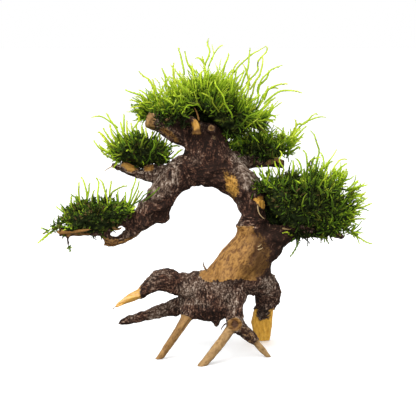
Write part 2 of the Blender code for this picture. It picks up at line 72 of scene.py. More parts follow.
Array = np.ndarray
Pair = tuple[float, float]
Pixel = tuple[float, float]
Point = tuple[float, float, float]
Colour = tuple[float, float, float]
Stops = tuple[tuple[float, Colour], ...]
Outline = tuple[Pixel, ...]
Part = tuple[Array, Array, Array, Array]


class Slot(Enum):
    """The material slots."""

    BARK = "bark"
    PEELED = "peeled"
    MOSS = "moss"


@dataclass(frozen=True)
class View:
    """The photograph's camera: what it looks at, from how far, how high and how long its lens is.

    It places things by the photograph's pixels, and says which pixel shows a point.
    """

    aim: Point = (1.3, 1.8, 69.5)
    distance: float = 600.0
    elevation: float = math.radians(8)
    pixels: int = 416
    focal_pixels: float = 1276.6
    sensor: float = 36.0

    @property
    def lens(self) -> float:
        """The focal length in millimetres."""
        return self.focal_pixels * self.sensor / self.pixels

    def place(self, column: float, row: float, y: float) -> Array:
        """The point at a depth that the photograph shows at a pixel.

        Args:
            column: the pixel's column.
            row: the pixel's row.
            y: the point's own Y in millimetres.

        Returns:
            The point, as X, Y and Z in millimetres.
        """
        cos, sin = math.cos(self.elevation), math.sin(self.elevation)
        back = y - self.aim[1]
        rise = (self.pixels / 2 - row) / self.focal_pixels
        z = (rise * (self.distance + back * cos) - back * sin) / (cos + rise * sin)
        depth = self.distance + back * cos - z * sin
        x = (column - self.pixels / 2) * depth / self.focal_pixels
        return np.array([x + self.aim[0], y, z + self.aim[2]])

    def pixel(self, points: Array) -> Array:
        """The photograph's column and row for each point.

        Args:
            points: rows of X, Y and Z in millimetres.

        Returns:
            Rows of column and row.
        """
        cos, sin = math.cos(self.elevation), math.sin(self.elevation)
        x, back, rise = (points - np.array(self.aim)).T
        depth = self.distance + back * cos - rise * sin
        up = back * sin + rise * cos
        middle = self.pixels / 2
        scale = self.focal_pixels / depth
        return np.stack([middle + x * scale, middle - up * scale], 1)


VIEW = View()


def unit(vectors: Array) -> Array:
    """Rows of vectors, each brought to a length of one."""
    return vectors / np.maximum(np.linalg.norm(vectors, axis=-1, keepdims=True), 1e-9)


def blend_in(values: Array, low: float, high: float) -> Array:
    """A smooth step: nothing up to low, all of it from high on."""
    t = np.clip((values - low) / (high - low), 0, 1)
    return t * t * (3 - 2 * t)


def hashed(cells: Array, seed: int) -> Array:
    """Numbers that look random and are always the same for the same cell and seed.

    Args:
        cells: rows of three whole numbers.
        seed: which numbers.

    Returns:
        A number from 0 to 1 for each cell.
    """
    mixed = cells.astype(np.int64) @ np.array(HASH_STEPS) + seed * HASH_SEED
    mixed = (mixed ^ (mixed >> 13)) * HASH_MIXES[0] & HASH_BITS
    mixed = (mixed ^ (mixed >> 16)) * HASH_MIXES[1] & HASH_BITS
    return ((mixed ^ (mixed >> 15)) & HASH_PARTS) / HASH_PARTS


def waves(points: Array, size: float, seed: int, octaves: int = 1) -> Array:
    """Smooth noise in space.

    Args:
        points: where, as rows of X, Y and Z in millimetres.
        size: about how wide one wave is.
        seed: which noise.
        octaves: how many layers, each half as wide and half as strong as the one before.

    Returns:
        A number from about -1 to 1 for each point.
    """
    total = np.zeros(len(points))
    strength = 1.0
    for layer in range(octaves):
        at = points / size * 2**layer
        cell = np.floor(at)
        inside = at - cell
        inside = inside * inside * (3 - 2 * inside)
        for corner in np.ndindex(2, 2, 2):
            share = np.prod(np.where(corner, inside, 1 - inside), axis=1)
            total += strength * share * (2 * hashed(cell + corner, seed + layer) - 1)
        strength /= 2
    return total


def pebbles(points: Array, size: float, seed: int) -> Array:
    """How close each point is to the nearest of many scattered pebbles.

    Args:
        points: where, as rows of X, Y and Z in millimetres.
        size: about how far apart the pebbles are.
        seed: which pebbles.

    Returns:
        A number for each point, from 0 far off to 1 at a pebble's middle.
    """
    at = points / size
    cell = np.floor(at)
    nearest = np.full(len(points), 9.0)
    for step in np.ndindex(3, 3, 3):
        other = cell + np.array(step) - 1
        middle = other + np.stack([hashed(other, seed + axis) for axis in range(3)], 1)
        nearest = np.minimum(nearest, np.linalg.norm(at - middle, axis=1))
    return np.clip(1 - nearest, 0, 1)


def outline(*numbers: float) -> Outline:
    """Corners from their columns and rows in turn."""
    return tuple(zip(numbers[::2], numbers[1::2]))


def outline_depth(spots: Array, line: Outline) -> Array:
    """How far inside an outline each spot lies.

    Args:
        spots: rows of column and row.
        line: the outline's corners.

    Returns:
        Each spot's distance from the outline, below zero outside it.
    """
    corners = np.array(line, float)
    inside = np.zeros(len(spots), bool)
    nearest = np.full(len(spots), np.inf)
    for a, b in zip(corners, np.roll(corners, -1, axis=0)):
        side = b - a
        along = np.clip((spots - a) @ side / max(side @ side, 1e-9), 0, 1)
        nearest = np.minimum(nearest, np.linalg.norm(spots - a - along[:, None] * side, axis=1))
        crosses = (a[1] > spots[:, 1]) != (b[1] > spots[:, 1])
        slope = side[0] / side[1] if side[1] else 0.0
        inside ^= crosses & (spots[:, 0] < a[0] + (spots[:, 1] - a[1]) * slope)
    return np.where(inside, nearest, -nearest)


def joined(parts: list[tuple[Array, ...]]) -> list[Array]:
    """Several meshes as one.

    Args:
        parts: the points and faces of each, and whatever else it keeps.

    Returns:
        The same, joined, with the faces numbered anew.
    """
    starts = np.cumsum([0] + [len(part[0]) for part in parts])
    parts = [(part[0], part[1] + start, *part[2:]) for part, start in zip(parts, starts)]
    return [np.concatenate(items) for items in zip(*parts)]


def face_sums(faces: Array, vectors: Array, count: int) -> Array:
    """For each of so many points, the sum of the vectors of the faces it is on."""
    corners, sides = faces.ravel(), faces.shape[1]
    return np.stack([np.bincount(corners, np.repeat(row, sides), count) for row in vectors.T], 1)


def rows_of(items: bpy.types.bpy_prop_collection, name: str, width: int, kind: type) -> Array:
    """One property of every item of a mesh.

    Args:
        items: the mesh's points, corners or triangles.
        name: the property's name.
        width: how many numbers it has.
        kind: the numbers' type.

    Returns:
        A row for each item.
    """
    values = np.empty(len(items) * width, kind)
    items.foreach_get(name, values)
    return values.reshape(-1, width)


def points_of(mesh: bpy.types.Mesh) -> Array:
    """A mesh's points in millimetres."""
    return rows_of(mesh.vertices, "co", 3, np.float32).astype(float) / MM


def mesh_object(
    name: str, points: Array, faces: Array, values: dict[str, Array] | None = None
) -> bpy.types.Object:
    """Makes an object of a mesh whose faces all have the same number of corners.

    Args:
        name: the object's name.
        points: rows of X, Y and Z in millimetres.
        faces: rows of point numbers.
        values: numbers to keep on the points, by name.

    Returns:
        The new object, in the scene.
    """
    mesh = bpy.data.meshes.new(name)
    sides = faces.shape[1]
    mesh.vertices.add(len(points))
    mesh.vertices.foreach_set("co", (points * MM).astype(np.float32).ravel())
    mesh.loops.add(faces.size)
    mesh.loops.foreach_set("vertex_index", faces.astype(np.int32).ravel())
    mesh.polygons.add(len(faces))
    mesh.polygons.foreach_set("loop_start", np.arange(0, faces.size, sides, dtype=np.int32))
    mesh.update(calc_edges=True)
    for key, numbers in (values or {}).items():
        layer = mesh.attributes.new(key, "FLOAT", "POINT")
        layer.data.foreach_set("value", numbers.astype(np.float32))
    obj = bpy.data.objects.new(name, mesh)
    bpy.context.scene.collection.objects.link(obj)
    return obj


def arrays_of(mesh: bpy.types.Mesh) -> tuple[Array, Array]:
    """A mesh's points in millimetres and its triangles."""
    mesh.calc_loop_triangles()
    return points_of(mesh), rows_of(mesh.loop_triangles, "vertices", 3, np.int32)


def remeshed(points: Array, faces: Array, voxel: float) -> tuple[Array, Array]:
    """One skin of small quads round everything that the faces enclose.

    Args:
        points: rows of X, Y and Z in millimetres.
        faces: rows of point numbers.
        voxel: the side of a quad in millimetres.

    Returns:
        The skin's points and quads.
    """
    obj = mesh_object("skin", points, faces)
    modifier = obj.modifiers.new("skin", "REMESH")
    modifier.mode = "VOXEL"
    modifier.voxel_size = voxel * MM
    graph = bpy.context.evaluated_depsgraph_get()
    mesh = bpy.data.meshes.new_from_object(obj.evaluated_get(graph))
    bpy.data.objects.remove(obj)
    return points_of(mesh), rows_of(mesh.loops, "vertex_index", 1, np.int32).reshape(-1, 4)


class Skin:
    """A skin of quads as arrays, which can be smoothed and pushed in and out."""

    easing = 0.6
    widening = 0.62
    across_grain = 0.04
    along_grain = 6
    streak_kept = 0.4
    streak_drawn = 0.6
    levelling = 60

    def __init__(self, points: Array, quads: Array) -> None:
        """Keeps the points and quads and lists each point's neighbours.

        Args:
            points: rows of X, Y and Z in millimetres.
            quads: rows of four point numbers.
        """
        self.points = points
        self.quads = quads
        sides = np.concatenate([quads[:, [i, (i + 1) % 4]] for i in range(4)])
        both = np.concatenate([sides, sides[:, ::-1]])
        both = np.unique(both[:, 0].astype(np.int64) * len(points) + both[:, 1])
        self.source = both // len(points)
        self.other = both % len(points)
        self.first = np.searchsorted(self.source, np.arange(len(points)))
        self.count = np.diff(np.append(self.first, len(self.source)))

    def neighbour_sum(self, values: Array) -> Array:
        """For each point, the sum of numbers kept for each of its neighbours."""
        return np.add.reduceat(values, self.first)

    def mean(self, values: Array) -> Array:
        """The mean of each point's neighbours."""
        count = self.count.reshape((-1,) + (1,) * (values.ndim - 1))
        return self.neighbour_sum(values[self.other]) / count

    def softened(self, values: Array, rounds: int, share: float = 0.5) -> Array:
        """Brings values closer to their neighbours' mean.

        Args:
            values: a number or a row for each point.
            rounds: how many times.
            share: how much of the way each time.

        Returns:
            The softened values.
        """
        for _ in range(rounds):
            values = values + share * (self.mean(values) - values)
        return values

    def smooth(self, rounds: int, shrinks: bool = False) -> None:
        """Smooths the form.

        Args:
            rounds: how many times.
            shrinks: whether it may lose width.
        """
        for _ in range(rounds):
            self.points = self.points + self.easing * (self.mean(self.points) - self.points)
            if not shrinks:
                self.points = self.points - self.widening * (self.mean(self.points) - self.points)

    def ease(self, share: Array, rounds: int) -> None:
        """Smooths the form only where a share says so, which takes its lumps away."""
        for _ in range(rounds):
            self.points = self.points + self.easing * share[:, None] * (self.mean(self.points) - self.points)

    def normals(self) -> Array:
        """The outward direction at each point."""
        a, b, c, d = (self.points[self.quads[:, i]] for i in range(4))
        return unit(face_sums(self.quads, np.cross(c - a, d - b), len(self.points)))

    def push(self, distance: Array | float) -> None:
        """Moves the points outwards by a distance."""
        self.points = self.points + self.normals() * np.reshape(distance, (-1, 1))

    def streaks(self, along: Array, rounds: int, seed: int) -> Array:
        """Random flecks drawn out along a direction, about -1 to 1.

        Args:
            along: the direction at each point.
            rounds: how often they are drawn out, which makes them longer.
            seed: which flecks.

        Returns:
            A number for each point.
        """
        way = unit(self.points[self.other] - self.points[self.source])
        share = np.abs((way * along[self.source]).sum(1)) ** self.along_grain + self.across_grain
        total = self.neighbour_sum(share)
        values = np.random.default_rng(seed).normal(size=len(self.points))
        for _ in range(rounds):
            drawn = self.streak_drawn * self.neighbour_sum(values[self.other] * share) / total
            values = self.streak_kept * values + drawn
        values -= self.softened(values, self.levelling)
        return values / (2 * values.std())


class Value:
    """A number that varies over a surface, worked out by nodes when Python's operators are used on it."""

    def __init__(self, graph: Graph, socket: bpy.types.NodeSocket) -> None:
        """Wraps a socket of a graph."""
        self.graph = graph
        self.socket = socket

    def maths(self, operation: str, *others: Value | float) -> Value:
        """A Math node on this number and others."""
        inputs = {i: item for i, item in enumerate((self, *others))}
        return self.graph.value("ShaderNodeMath", {"operation": operation}, inputs)

    def __add__(self, other: Value | float) -> Value:
        """This plus another."""
        return self.maths("ADD", other)

    __radd__ = __add__

    def __mul__(self, other: Value | float) -> Value:
        """This times another."""
        return self.maths("MULTIPLY", other)

    __rmul__ = __mul__

    def __sub__(self, other: Value | float) -> Value:
        """This less another."""
        return self.maths("SUBTRACT", other)

    def __rsub__(self, other: Value | float) -> Value:
        """Another less this."""
        return self.maths("MULTIPLY_ADD", -1.0, other)

    def step(self, low: float, high: float) -> Value:
        """A smooth step from 0 at low to 1 at high."""
        settings = {"interpolation_type": "SMOOTHSTEP"}
        return self.graph.value("ShaderNodeMapRange", settings, {0: self, 1: low, 2: high})


class Graph:
    """The nodes of one material, or of the world."""

    def __init__(self, owner: bpy.types.Material | bpy.types.World, shader: str = "Principled BSDF") -> None:
        """Starts with only a shader and an output.

        Args:
            owner: the material or the world.
            shader: the name of its shader.
        """
        owner.use_nodes = True
        self.material = owner
        self.tree = owner.node_tree
        self.shader = self.tree.nodes[shader]

    def node(
        self,
        kind: str,
        settings: dict[str, object] | None = None,
        inputs: dict[int | str, object] | None = None,
    ) -> bpy.types.Node:
        """Adds a node.

        Args:
            kind: the node's type.
            settings: its own properties, and for a ramp its stops, as places and colours.
            inputs: a value, a Value or a socket for each input, by number or name.

        Returns:
            The node.
        """
        node = self.tree.nodes.new(kind)
        for key, setting in (settings or {}).items():
            if key == "stops":
                self.set_stops(node.color_ramp.elements, setting)
            else:
                setattr(node, key, setting)
        for key, item in (inputs or {}).items():
            self.feed(node.inputs[key], item)
        return node

    @staticmethod
    def set_stops(elements: bpy.types.ColorRampElements, stops: object) -> None:
        """Gives a ramp its stops.

        Args:
            elements: the ramp's own stops.
            stops: the places and colours that they get.
        """
        while len(elements) < len(stops):
            elements.new(0.5)
        for element, (place, colour) in zip(elements, stops):
            element.position = place
            element.color = (*colour, 1.0)

    def feed(self, socket: bpy.types.NodeSocket, item: object) -> None:
        """Sets an input, or links to it.

        Args:
            socket: the input.
            item: a number, a colour, a socket or a Value.
        """
        if isinstance(item, Value):
            item = item.socket
        if isinstance(item, bpy.types.NodeSocket):
            self.tree.links.new(item, socket)
        elif isinstance(item, tuple) and len(item) == 3 and socket.type == "RGBA":
            socket.default_value = (*item, 1.0)
        else:
            socket.default_value = item

    def value(self, kind: str, settings: dict[str, object], inputs: dict[int | str, object]) -> Value:
        """Adds a node and wraps its first output."""
        return Value(self, self.node(kind, settings, inputs).outputs[0])

    def point_value(self, name: str) -> Value:
        """A number kept on the mesh's points."""
        node = self.node("ShaderNodeAttribute", {"attribute_name": name})
        return Value(self, node.outputs["Fac"])

    def noise(self, size: float, detail: float = 3.0) -> Value:
        """Noise over the surface.

        Args:
            size: about how many millimetres wide its waves are.
            detail: how many finer layers it has.

        Returns:
            The noise.
        """
        place = self.node("ShaderNodeTexCoord").outputs["Object"]
        inputs = {"Vector": place, "Scale": 1 / (size * MM), "Detail": detail}
        return Value(self, self.node("ShaderNodeTexNoise", {}, inputs).outputs["Fac"])

    def mix(self, share: Value | float, first: object, second: object) -> bpy.types.NodeSocket:
        """The first colour, with a share of the second."""
        inputs = {0: share, 6: first, 7: second}
        return self.node("ShaderNodeMix", {"data_type": "RGBA"}, inputs).outputs[2]

    def ramp(self, share: Value, stops: Stops) -> bpy.types.NodeSocket:
        """A colour read from stops."""
        return self.node("ShaderNodeValToRGB", {"stops": stops}, {0: share}).outputs[0]

    def surface(
        self,
        colour: object,
        roughness: Value | float,
        height: Value | None = None,
        depth: float = 0.0,
        specular: float = 0.5,
    ) -> None:
        """Feeds the shader.

        Args:
            colour: its colour.
            roughness: its roughness.
            height: what its bump follows.
            depth: how many millimetres deep the bump is.
            specular: how strongly it shines.
        """
        self.feed(self.shader.inputs["Base Color"], colour)
        self.feed(self.shader.inputs["Roughness"], roughness)
        self.shader.inputs["Specular IOR Level"].default_value = specular
        if height is not None:
            bump = self.node("ShaderNodeBump", {}, {"Distance": depth * MM, "Height": height})
            self.feed(self.shader.inputs["Normal"], bump.outputs[0])


@dataclass(frozen=True)
class WoodFinish:
    """Bark and peeled wood in one finish, told apart by what is kept on the points.

    Its ramps run from dark to light for bark and rust, and from cool to warm for peeled wood and its grain.
    The two dark colours are what the dark look mixes in: real dark marks on bark and peeled wood, and painted
    shade where patches darken hollows and shaded sides. Speck, blotch and broad say how wide its noises are,
    and depth how deep its bump is, in millimetres. Ranges say between which two values something sets in.
    """

    bark: Stops = (
        (0.0, (0.007, 0.004, 0.003)),
        (0.32, (0.028, 0.015, 0.010)),
        (0.55, (0.084, 0.051, 0.034)),
        (0.78, (0.205, 0.150, 0.114)),
        (1.0, (0.390, 0.315, 0.252)),
    )
    rust: Stops = (
        (0.0, (0.009, 0.004, 0.002)),
        (0.32, (0.034, 0.013, 0.008)),
        (0.55, (0.098, 0.043, 0.024)),
        (0.78, (0.200, 0.112, 0.072)),
        (1.0, (0.370, 0.265, 0.200)),
    )
    peeled: Stops = (
        (0.0, (0.480, 0.350, 0.180)),
        (0.5, (0.355, 0.180, 0.044)),
        (1.0, (0.950, 0.520, 0.080)),
    )
    grain: Stops = (
        (0.0, (0.250, 0.155, 0.066)),
        (0.5, (0.125, 0.050, 0.011)),
        (1.0, (0.800, 0.400, 0.048)),
    )
    char: Colour = (0.021, 0.008, 0.004)
    sepia: Colour = (0.050, 0.017, 0.005)
    speck: float = 0.8
    blotch: float = 3.2
    broad: float = 6.0
    depth: float = 0.15
    detail: float = 4.0
    specular: float = 0.22
    wet_roughness: float = 0.12
    rust_range: Pair = (0.25, 0.6)
    streak_range: Pair = (-0.85, 0.7)
    peel_range: Pair = (0.3, 0.65)

    def material(self) -> bpy.types.Material:
        """The finish as nodes.

        Returns:
            The material.
        """
        graph = Graph(bpy.data.materials.new("driftwood"))
        fleck = graph.point_value("fleck")
        fibre = graph.point_value("fibre")
        speck = graph.noise(self.speck, self.detail) - 0.5
        blotch = graph.noise(self.blotch, self.detail) - 0.5
        broad = graph.noise(self.broad) - 0.5
        grey = graph.point_value("grey")
        furrow = graph.point_value("furrow")
        grain = fleck * 0.25 + fibre * furrow * 0.42 + speck * (1.55 - furrow * 0.7)
        level = 0.07 + grain * (1.5 - grey * 0.6) + grey * 0.6 + broad * 0.5 + blotch * 0.75
        rusty = (0.75 - broad * 0.8 - grey * 0.62).step(*self.rust_range)
        bark = graph.mix(rusty, graph.ramp(level, self.bark), graph.ramp(level, self.rust))
        streak = fibre * 0.7 + fleck * 0.6 + speck * 1.9 + blotch * 1.1
        streak = (streak * (0.3 + furrow * 1.75)).step(*self.streak_range)
        warm = graph.point_value("warm")
        peeled = graph.mix(streak, graph.ramp(warm, self.grain), graph.ramp(warm, self.peeled))
        peel = graph.point_value("peel")
        colour = graph.mix((peel + speck * 1.1).step(*self.peel_range), bark, peeled)
        # The dark look mixes in real dark marks, and in some patches painted shade.
        colour = graph.mix(graph.point_value("dark"), colour, graph.mix(peel, self.char, self.sepia))
        roughness = 0.9 - peel * 0.35
        relief = fibre * 0.5 + speck * (1.6 - peel * 1.1) + fleck * 0.3
        graph.surface(colour, roughness, relief, self.depth, self.specular)
        graph.feed(graph.shader.inputs["Coat Weight"], graph.point_value("wet"))
        graph.shader.inputs["Coat Roughness"].default_value = self.wet_roughness
        return graph.material


@dataclass(frozen=True)
class MossFinish:
    """Moss from its dark inside to its pale tips, which carry the cushions' painted shade and painted light,
    with yellower and browner strands among the green.

    Ranges say between which two tones a colour sets in, and shares how much of it there is at most.
    """

    stops: Stops = (
        (0.0, (0.004, 0.006, 0.002)),
        (0.2, (0.020, 0.030, 0.007)),
        (0.4, (0.076, 0.144, 0.012)),
        (0.6, (0.248, 0.390, 0.018)),
        (0.8, (0.500, 0.670, 0.036)),
        (1.0, (0.760, 0.850, 0.150)),
    )
    old: Colour = (0.13, 0.080, 0.030)
    yellow: Colour = (0.80, 0.76, 0.08)
    blue: Colour = (0.06, 0.20, 0.04)
    old_range: Pair = (0.90, 0.98)
    yellow_range: Pair = (0.5, 1.0)
    blue_range: Pair = (0.6, 0.85)
    old_share: float = 0.8
    yellow_share: float = 0.75
    blue_share: float = 0.5
    roughness: float = 0.65
    specular: float = 0.06

    def material(self) -> bpy.types.Material:
        """The finish as nodes.

        Returns:
            The material.
        """
        graph = Graph(bpy.data.materials.new("moss"))
        shade = graph.point_value("shade")
        tone = graph.point_value("tone")
        green = graph.ramp(shade, self.stops)
        yellow = tone.step(*self.yellow_range) * shade * self.yellow_share
        green = graph.mix(yellow, green, self.yellow)
        blue = (1 - tone).step(*self.blue_range) * shade * self.blue_share
        green = graph.mix(blue, green, self.blue)
        colour = graph.mix((1 - tone).step(*self.old_range) * self.old_share, green, self.old)
        graph.surface(colour, self.roughness, specular=self.specular)
        return graph.material


@dataclass(frozen=True)
class Patch:
    """A stretch of wood with a look of its own, by its outline in the photograph.

    Its looks say how much of the bark is gone (peel), how warm, dark or wet the wood is, how grey the
    bark's flecks are, and how deep its furrows and lumps (rough). Dark is a real dark mark in some patches
    and painted shade in others. With nodes named, it stays on those.
    Its edge fades over so many pixels, and it runs round the limb or stays on the near side.
    """

    corners: Outline
    looks: dict[str, float]
    nodes: tuple[str, ...]
    fade: float
    round_limb: bool


def patch(
    *corners: float, nodes: str = "", fade: float = 1.5, round_limb: bool = False, **looks: float
) -> Patch:
    """A patch from its corners' columns and rows in turn, its nodes' names and its looks."""
    return Patch(outline(*corners), looks, tuple(nodes.split()), fade, round_limb)


@dataclass(frozen=True)
class CutEnd:
    """A sawn or broken end: where it is, how wide, which way it faces, and how it looks."""

    at: Point
    facing: Point
    radius: float
    warm: float
    ring: float = 0.0
    dark: float = 0.0


@dataclass(frozen=True)
class Swell:
    """A place where the wood is fuller than the frame's limb: its pixel, depth, reach and height."""

    at: Pixel
    depth: float
    reach: float
    height: float

    def height_at(self, points: Array) -> Array:
        """How far it pushes each point out."""
        apart = np.linalg.norm(points - VIEW.place(*self.at, self.depth), axis=1)
        return self.height * np.exp(-((apart / self.reach) ** 2))


@dataclass(frozen=True)
class Sliver:
    """A splinter, rootlet or thin twig: its node, its pixels at root, middle and tip, and its look.

    Its tip stands out of the wood by its lift, in millimetres. It tapers to a share of its radius, and rings
    that are a much smaller share of it close its two ends.
    """

    node: str
    root: Pixel
    middle: Pixel
    tip: Pixel
    radius: float
    peel: float = 0.8
    warm: float = 0.3
    dark: float = 0.0
    lift: float = 0.6
    taper: float = 0.45
    closed: float = 0.02

    def mesh(self, depth: float, rings: int = 9, sides: int = 6) -> tuple[Array, Array, Array]:
        """A closed tapering tube.

        Args:
            depth: its depth in millimetres.
            rings: how many rings of points it has.
            sides: how many points each ring has.

        Returns:
            Its points, quads and the outward direction at each point.
        """
        t = np.linspace(0, 1, rings)[:, None]
        a, b, c = (VIEW.place(*spot, depth) for spot in (self.root, self.middle, self.tip))
        line = (1 - t) ** 2 * a + 2 * t * (1 - t) * (2 * b - (a + c) / 2) + t**2 * c
        line[:, 1] -= self.lift * t[:, 0]
        way = unit(np.gradient(line, axis=0))
        first = unit(np.cross(way, np.array([0, 1, 0])))
        second = np.cross(way, first)
        between = np.linspace(1, self.taper, rings - 2)
        width = self.radius * np.concatenate([[self.closed], between, [self.closed]])
        turns = np.arange(sides) * WHOLE_TURN / sides
        cos, sin = (wave[None, :, None] for wave in (np.cos(turns), np.sin(turns)))
        outward = cos * first[:, None] + sin * second[:, None]
        points = line[:, None] + width[:, None, None] * outward
        start = np.arange(rings - 1)[:, None] * sides
        here, after = np.arange(sides), (np.arange(sides) + 1) % sides
        quads = np.stack([start + here, start + after, start + sides + after, start + sides + here], 2)
        return points.reshape(-1, 3), quads.reshape(-1, 4), outward.reshape(-1, 3)


@dataclass
class Driftwood:
    """The whole wood: its limbs, where it is peeled, cut, worn or splintered, and its sizes in millimetres.

    The bridge is how far limbs are widened to meet over the cuts between them. The even node's peeled wood is
    smoothed the most. A cut end's face, and the hole in it, start and are full at two shares of its radius.
    Numbers of rounds say how often something is smoothed or drawn out.
    """

    nodes: tuple[str, ...]
    patches: tuple[Patch, ...]
    ends: tuple[CutEnd, ...]
    swells: tuple[Swell, ...]
    slivers: tuple[Sliver, ...]
    fibres: dict[str, Point]
    voxel: float = 0.42
    bridge: float = 0.35
    smoothing: int = 26
    grain_reach: float = 9.0
    grain_rounds: int = 30
    fleck_rounds: int = 3
    fibre_rounds: int = 26
    batch: int = 400
    bark_height: float = 0.35
    lump: float = 2.0
    lump_level: float = 0.45
    wave_share: float = 0.7
    wave_size: float = 3.4
    fleck_share: float = 0.6
    bark_rise: float = 0.35
    fibre_height: float = 0.13
    swell_height: float = 0.06
    swell_size: float = 6.0
    sunk: float = 0.2
    grey_drift: float = 0.22
    grey_size: float = 8.0
    ragged: float = 2.2
    side_fade: float = 0.15
    face_edge: Pair = (1.0, 0.8)
    face_depth: Pair = (1.6, 1.0)
    hole_edge: Pair = (0.62, 0.42)
    hole_dark: float = 0.96
    hole_depth: float = 0.5
    even_node: str = "lower_trunk"
    even_rounds: int = 110
    even_fade: int = 8

    def build(self) -> list[bpy.types.Object]:
        """Makes the wood's pieces.

        Returns:
            A piece for each limb of the frame.
        """
        points, faces, owner = self.limbs()
        skin = self.skin = Skin(*remeshed(self.thicker(points, faces), faces, self.voxel))
        skin.smooth(self.smoothing)
        skin.push(-self.bridge)
        tree = BVHTree.FromPolygons(points.tolist(), faces.tolist())
        nearest = np.array([tree.find_nearest(point)[2] for point in skin.points])
        self.limb = owner[nearest]
        looks = self.looks(self.grain(points[faces], owner, nearest))
        even = self.on(self.even_node) * looks["peel"]
        skin.ease(skin.softened(even.astype(float), self.even_fade), self.even_rounds)
        skin.push(looks.pop("height"))
        skin.smooth(1)
        return self.parted(looks)

    def on(self, *names: str) -> Array:
        """Which points of the skin belong to limbs."""
        return np.isin(self.limb, [self.nodes.index(name) for name in names])

    def limbs(self) -> list[Array]:
        """The frame's limbs as one set of points and triangles, with the number of each triangle's node."""
        forms = [arrays_of(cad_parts[name].data) for name in self.nodes]
        return joined([(*form, np.full(len(form[1]), number)) for number, form in enumerate(forms)])

    def thicker(self, points: Array, faces: Array) -> Array:
        """Moves the limbs' points out a little, so that limbs parted by a thin cut overlap.

        Args:
            points: the limbs' points.
            faces: their triangles.

        Returns:
            The new points.
        """
        a, b, c = (points[faces[:, i]] for i in range(3))
        across = np.cross(b - a, c - a)
        keys = np.unique(points.round(3), axis=0, return_inverse=True)[1].ravel()
        return points + unit(face_sums(keys[faces], across, keys.max() + 1))[keys] * self.bridge

    def grain(self, corners: Array, owner: Array, nearest: Array) -> Array:
        """The way the wood's fibres run: the direction that its surface turns away from least.

        Args:
            corners: the corners of the limbs' triangles.
            owner: the number of each triangle's limb.
            nearest: the triangle nearest to each point of the skin.

        Returns:
            A direction for each point of the skin.
        """
        a, b, c = corners.transpose(1, 0, 2)
        across = np.cross(b - a, c - a)
        middle = (a + b + c) / 3
        facing = unit(across)
        turned = facing[:, :, None] * facing[:, None, :] * np.linalg.norm(across, axis=1)[:, None, None]
        tensors = np.empty((len(middle), 3, 3))
        for start in range(0, len(middle), self.batch):
            rows = middle[start:start + self.batch]
            apart = ((rows[:, None] - middle) ** 2).sum(2)
            share = np.exp(-apart / (self.grain_reach / 2) ** 2)
            tensors[start:start + self.batch] = (share @ turned.reshape(-1, 9)).reshape(-1, 3, 3)
        least = np.linalg.eigh(tensors)[1][:, :, 0]
        for name, way in self.fibres.items():
            least[owner == self.nodes.index(name)] = unit(np.array(way))
        least = least[nearest]
        spread = (least[:, :, None] * least[:, None, :]).reshape(-1, 9)
        spread = self.skin.softened(spread, self.grain_rounds)
        return np.linalg.eigh(spread.reshape(-1, 3, 3))[1][:, :, 2]

    def looks(self, along: Array) -> dict[str, Array]:
        """What is kept on each point for the finish, and how far it is pushed out.

        Args:
            along: the way the fibres run.

        Returns:
            Numbers by name, with the push under height.
        """
        points = self.skin.points
        looks = {
            "fleck": self.skin.streaks(along, self.fleck_rounds, 1),
            "fibre": self.skin.streaks(along, self.fibre_rounds, 2),
        }
        for key, usual in USUAL_LOOKS.items():
            looks[key] = np.full(len(points), usual)
        spots = VIEW.pixel(points)
        ragged = np.stack([waves(points, self.ragged, seed, 3) for seed in (11, 12)], 1) * self.ragged
        near = -self.skin.normals()[:, 1]
        for area in self.patches:
            share = blend_in(outline_depth(spots + ragged, area.corners), -area.fade, area.fade)
            if not area.round_limb:
                share *= blend_in(near, -self.side_fade, self.side_fade)
            if area.nodes:
                share *= self.on(*area.nodes)
            for key, wanted in area.looks.items():
                looks[key] += share * (wanted - looks[key])
        looks["grey"] += self.grey_drift * waves(points, self.grey_size, 3, 3)
        height = self.relief(points, looks)
        for end in self.ends:
            height += self.dress_end(end, points, looks)
        for swell in self.swells:
            height += swell.height_at(points)
        looks["height"] = height
        return looks

    def relief(self, points: Array, looks: dict[str, Array]) -> Array:
        """How far bark and fibres stand out of the wood's form.

        Args:
            points: the skin's points.
            looks: what is kept on them. The rough look is taken out.

        Returns:
            A height in millimetres for each point.
        """
        bark = 1 - looks["peel"]
        lumps = pebbles(points, self.lump, 21) - self.lump_level
        lumps = lumps + self.wave_share * waves(points, self.wave_size, 5, 3)
        lumps = looks.pop("rough") * (lumps + self.fleck_share * looks["fleck"])
        rough = self.bark_height * (looks["furrow"] * looks["fibre"] + lumps)
        swells = self.swell_height * waves(points, self.swell_size, 8, 2)
        fibres = self.fibre_height * looks["fibre"] + swells
        return bark * (rough + self.bark_rise) + looks["peel"] * fibres - self.sunk

    def dress_end(self, end: CutEnd, points: Array, looks: dict[str, Array]) -> Array:
        """Bares a cut end, draws its ring and hollows its middle.

        Args:
            end: the cut end.
            points: the skin's points.
            looks: what is kept on them, which is changed here.

        Returns:
            How far each point is pushed out.
        """
        away = points - np.array(end.at)
        facing = unit(np.array(end.facing, float))
        deep = away @ facing
        apart = np.linalg.norm(away - deep[:, None] * facing, axis=1)
        start, full = (-end.radius * share for share in self.face_edge)
        far, near = self.face_depth
        face = blend_in(-apart, start, full) * blend_in(-np.abs(deep), -far, -near)
        for key, wanted in (("peel", 1.0), ("warm", end.warm), ("dark", end.dark)):
            looks[key] += face * (wanted - looks[key])
        start, full = (-end.radius * share for share in self.hole_edge)
        hole = end.ring * blend_in(-apart, start, full) * face
        looks["dark"] += hole * (self.hole_dark - looks["dark"])
        return -self.hole_depth * hole

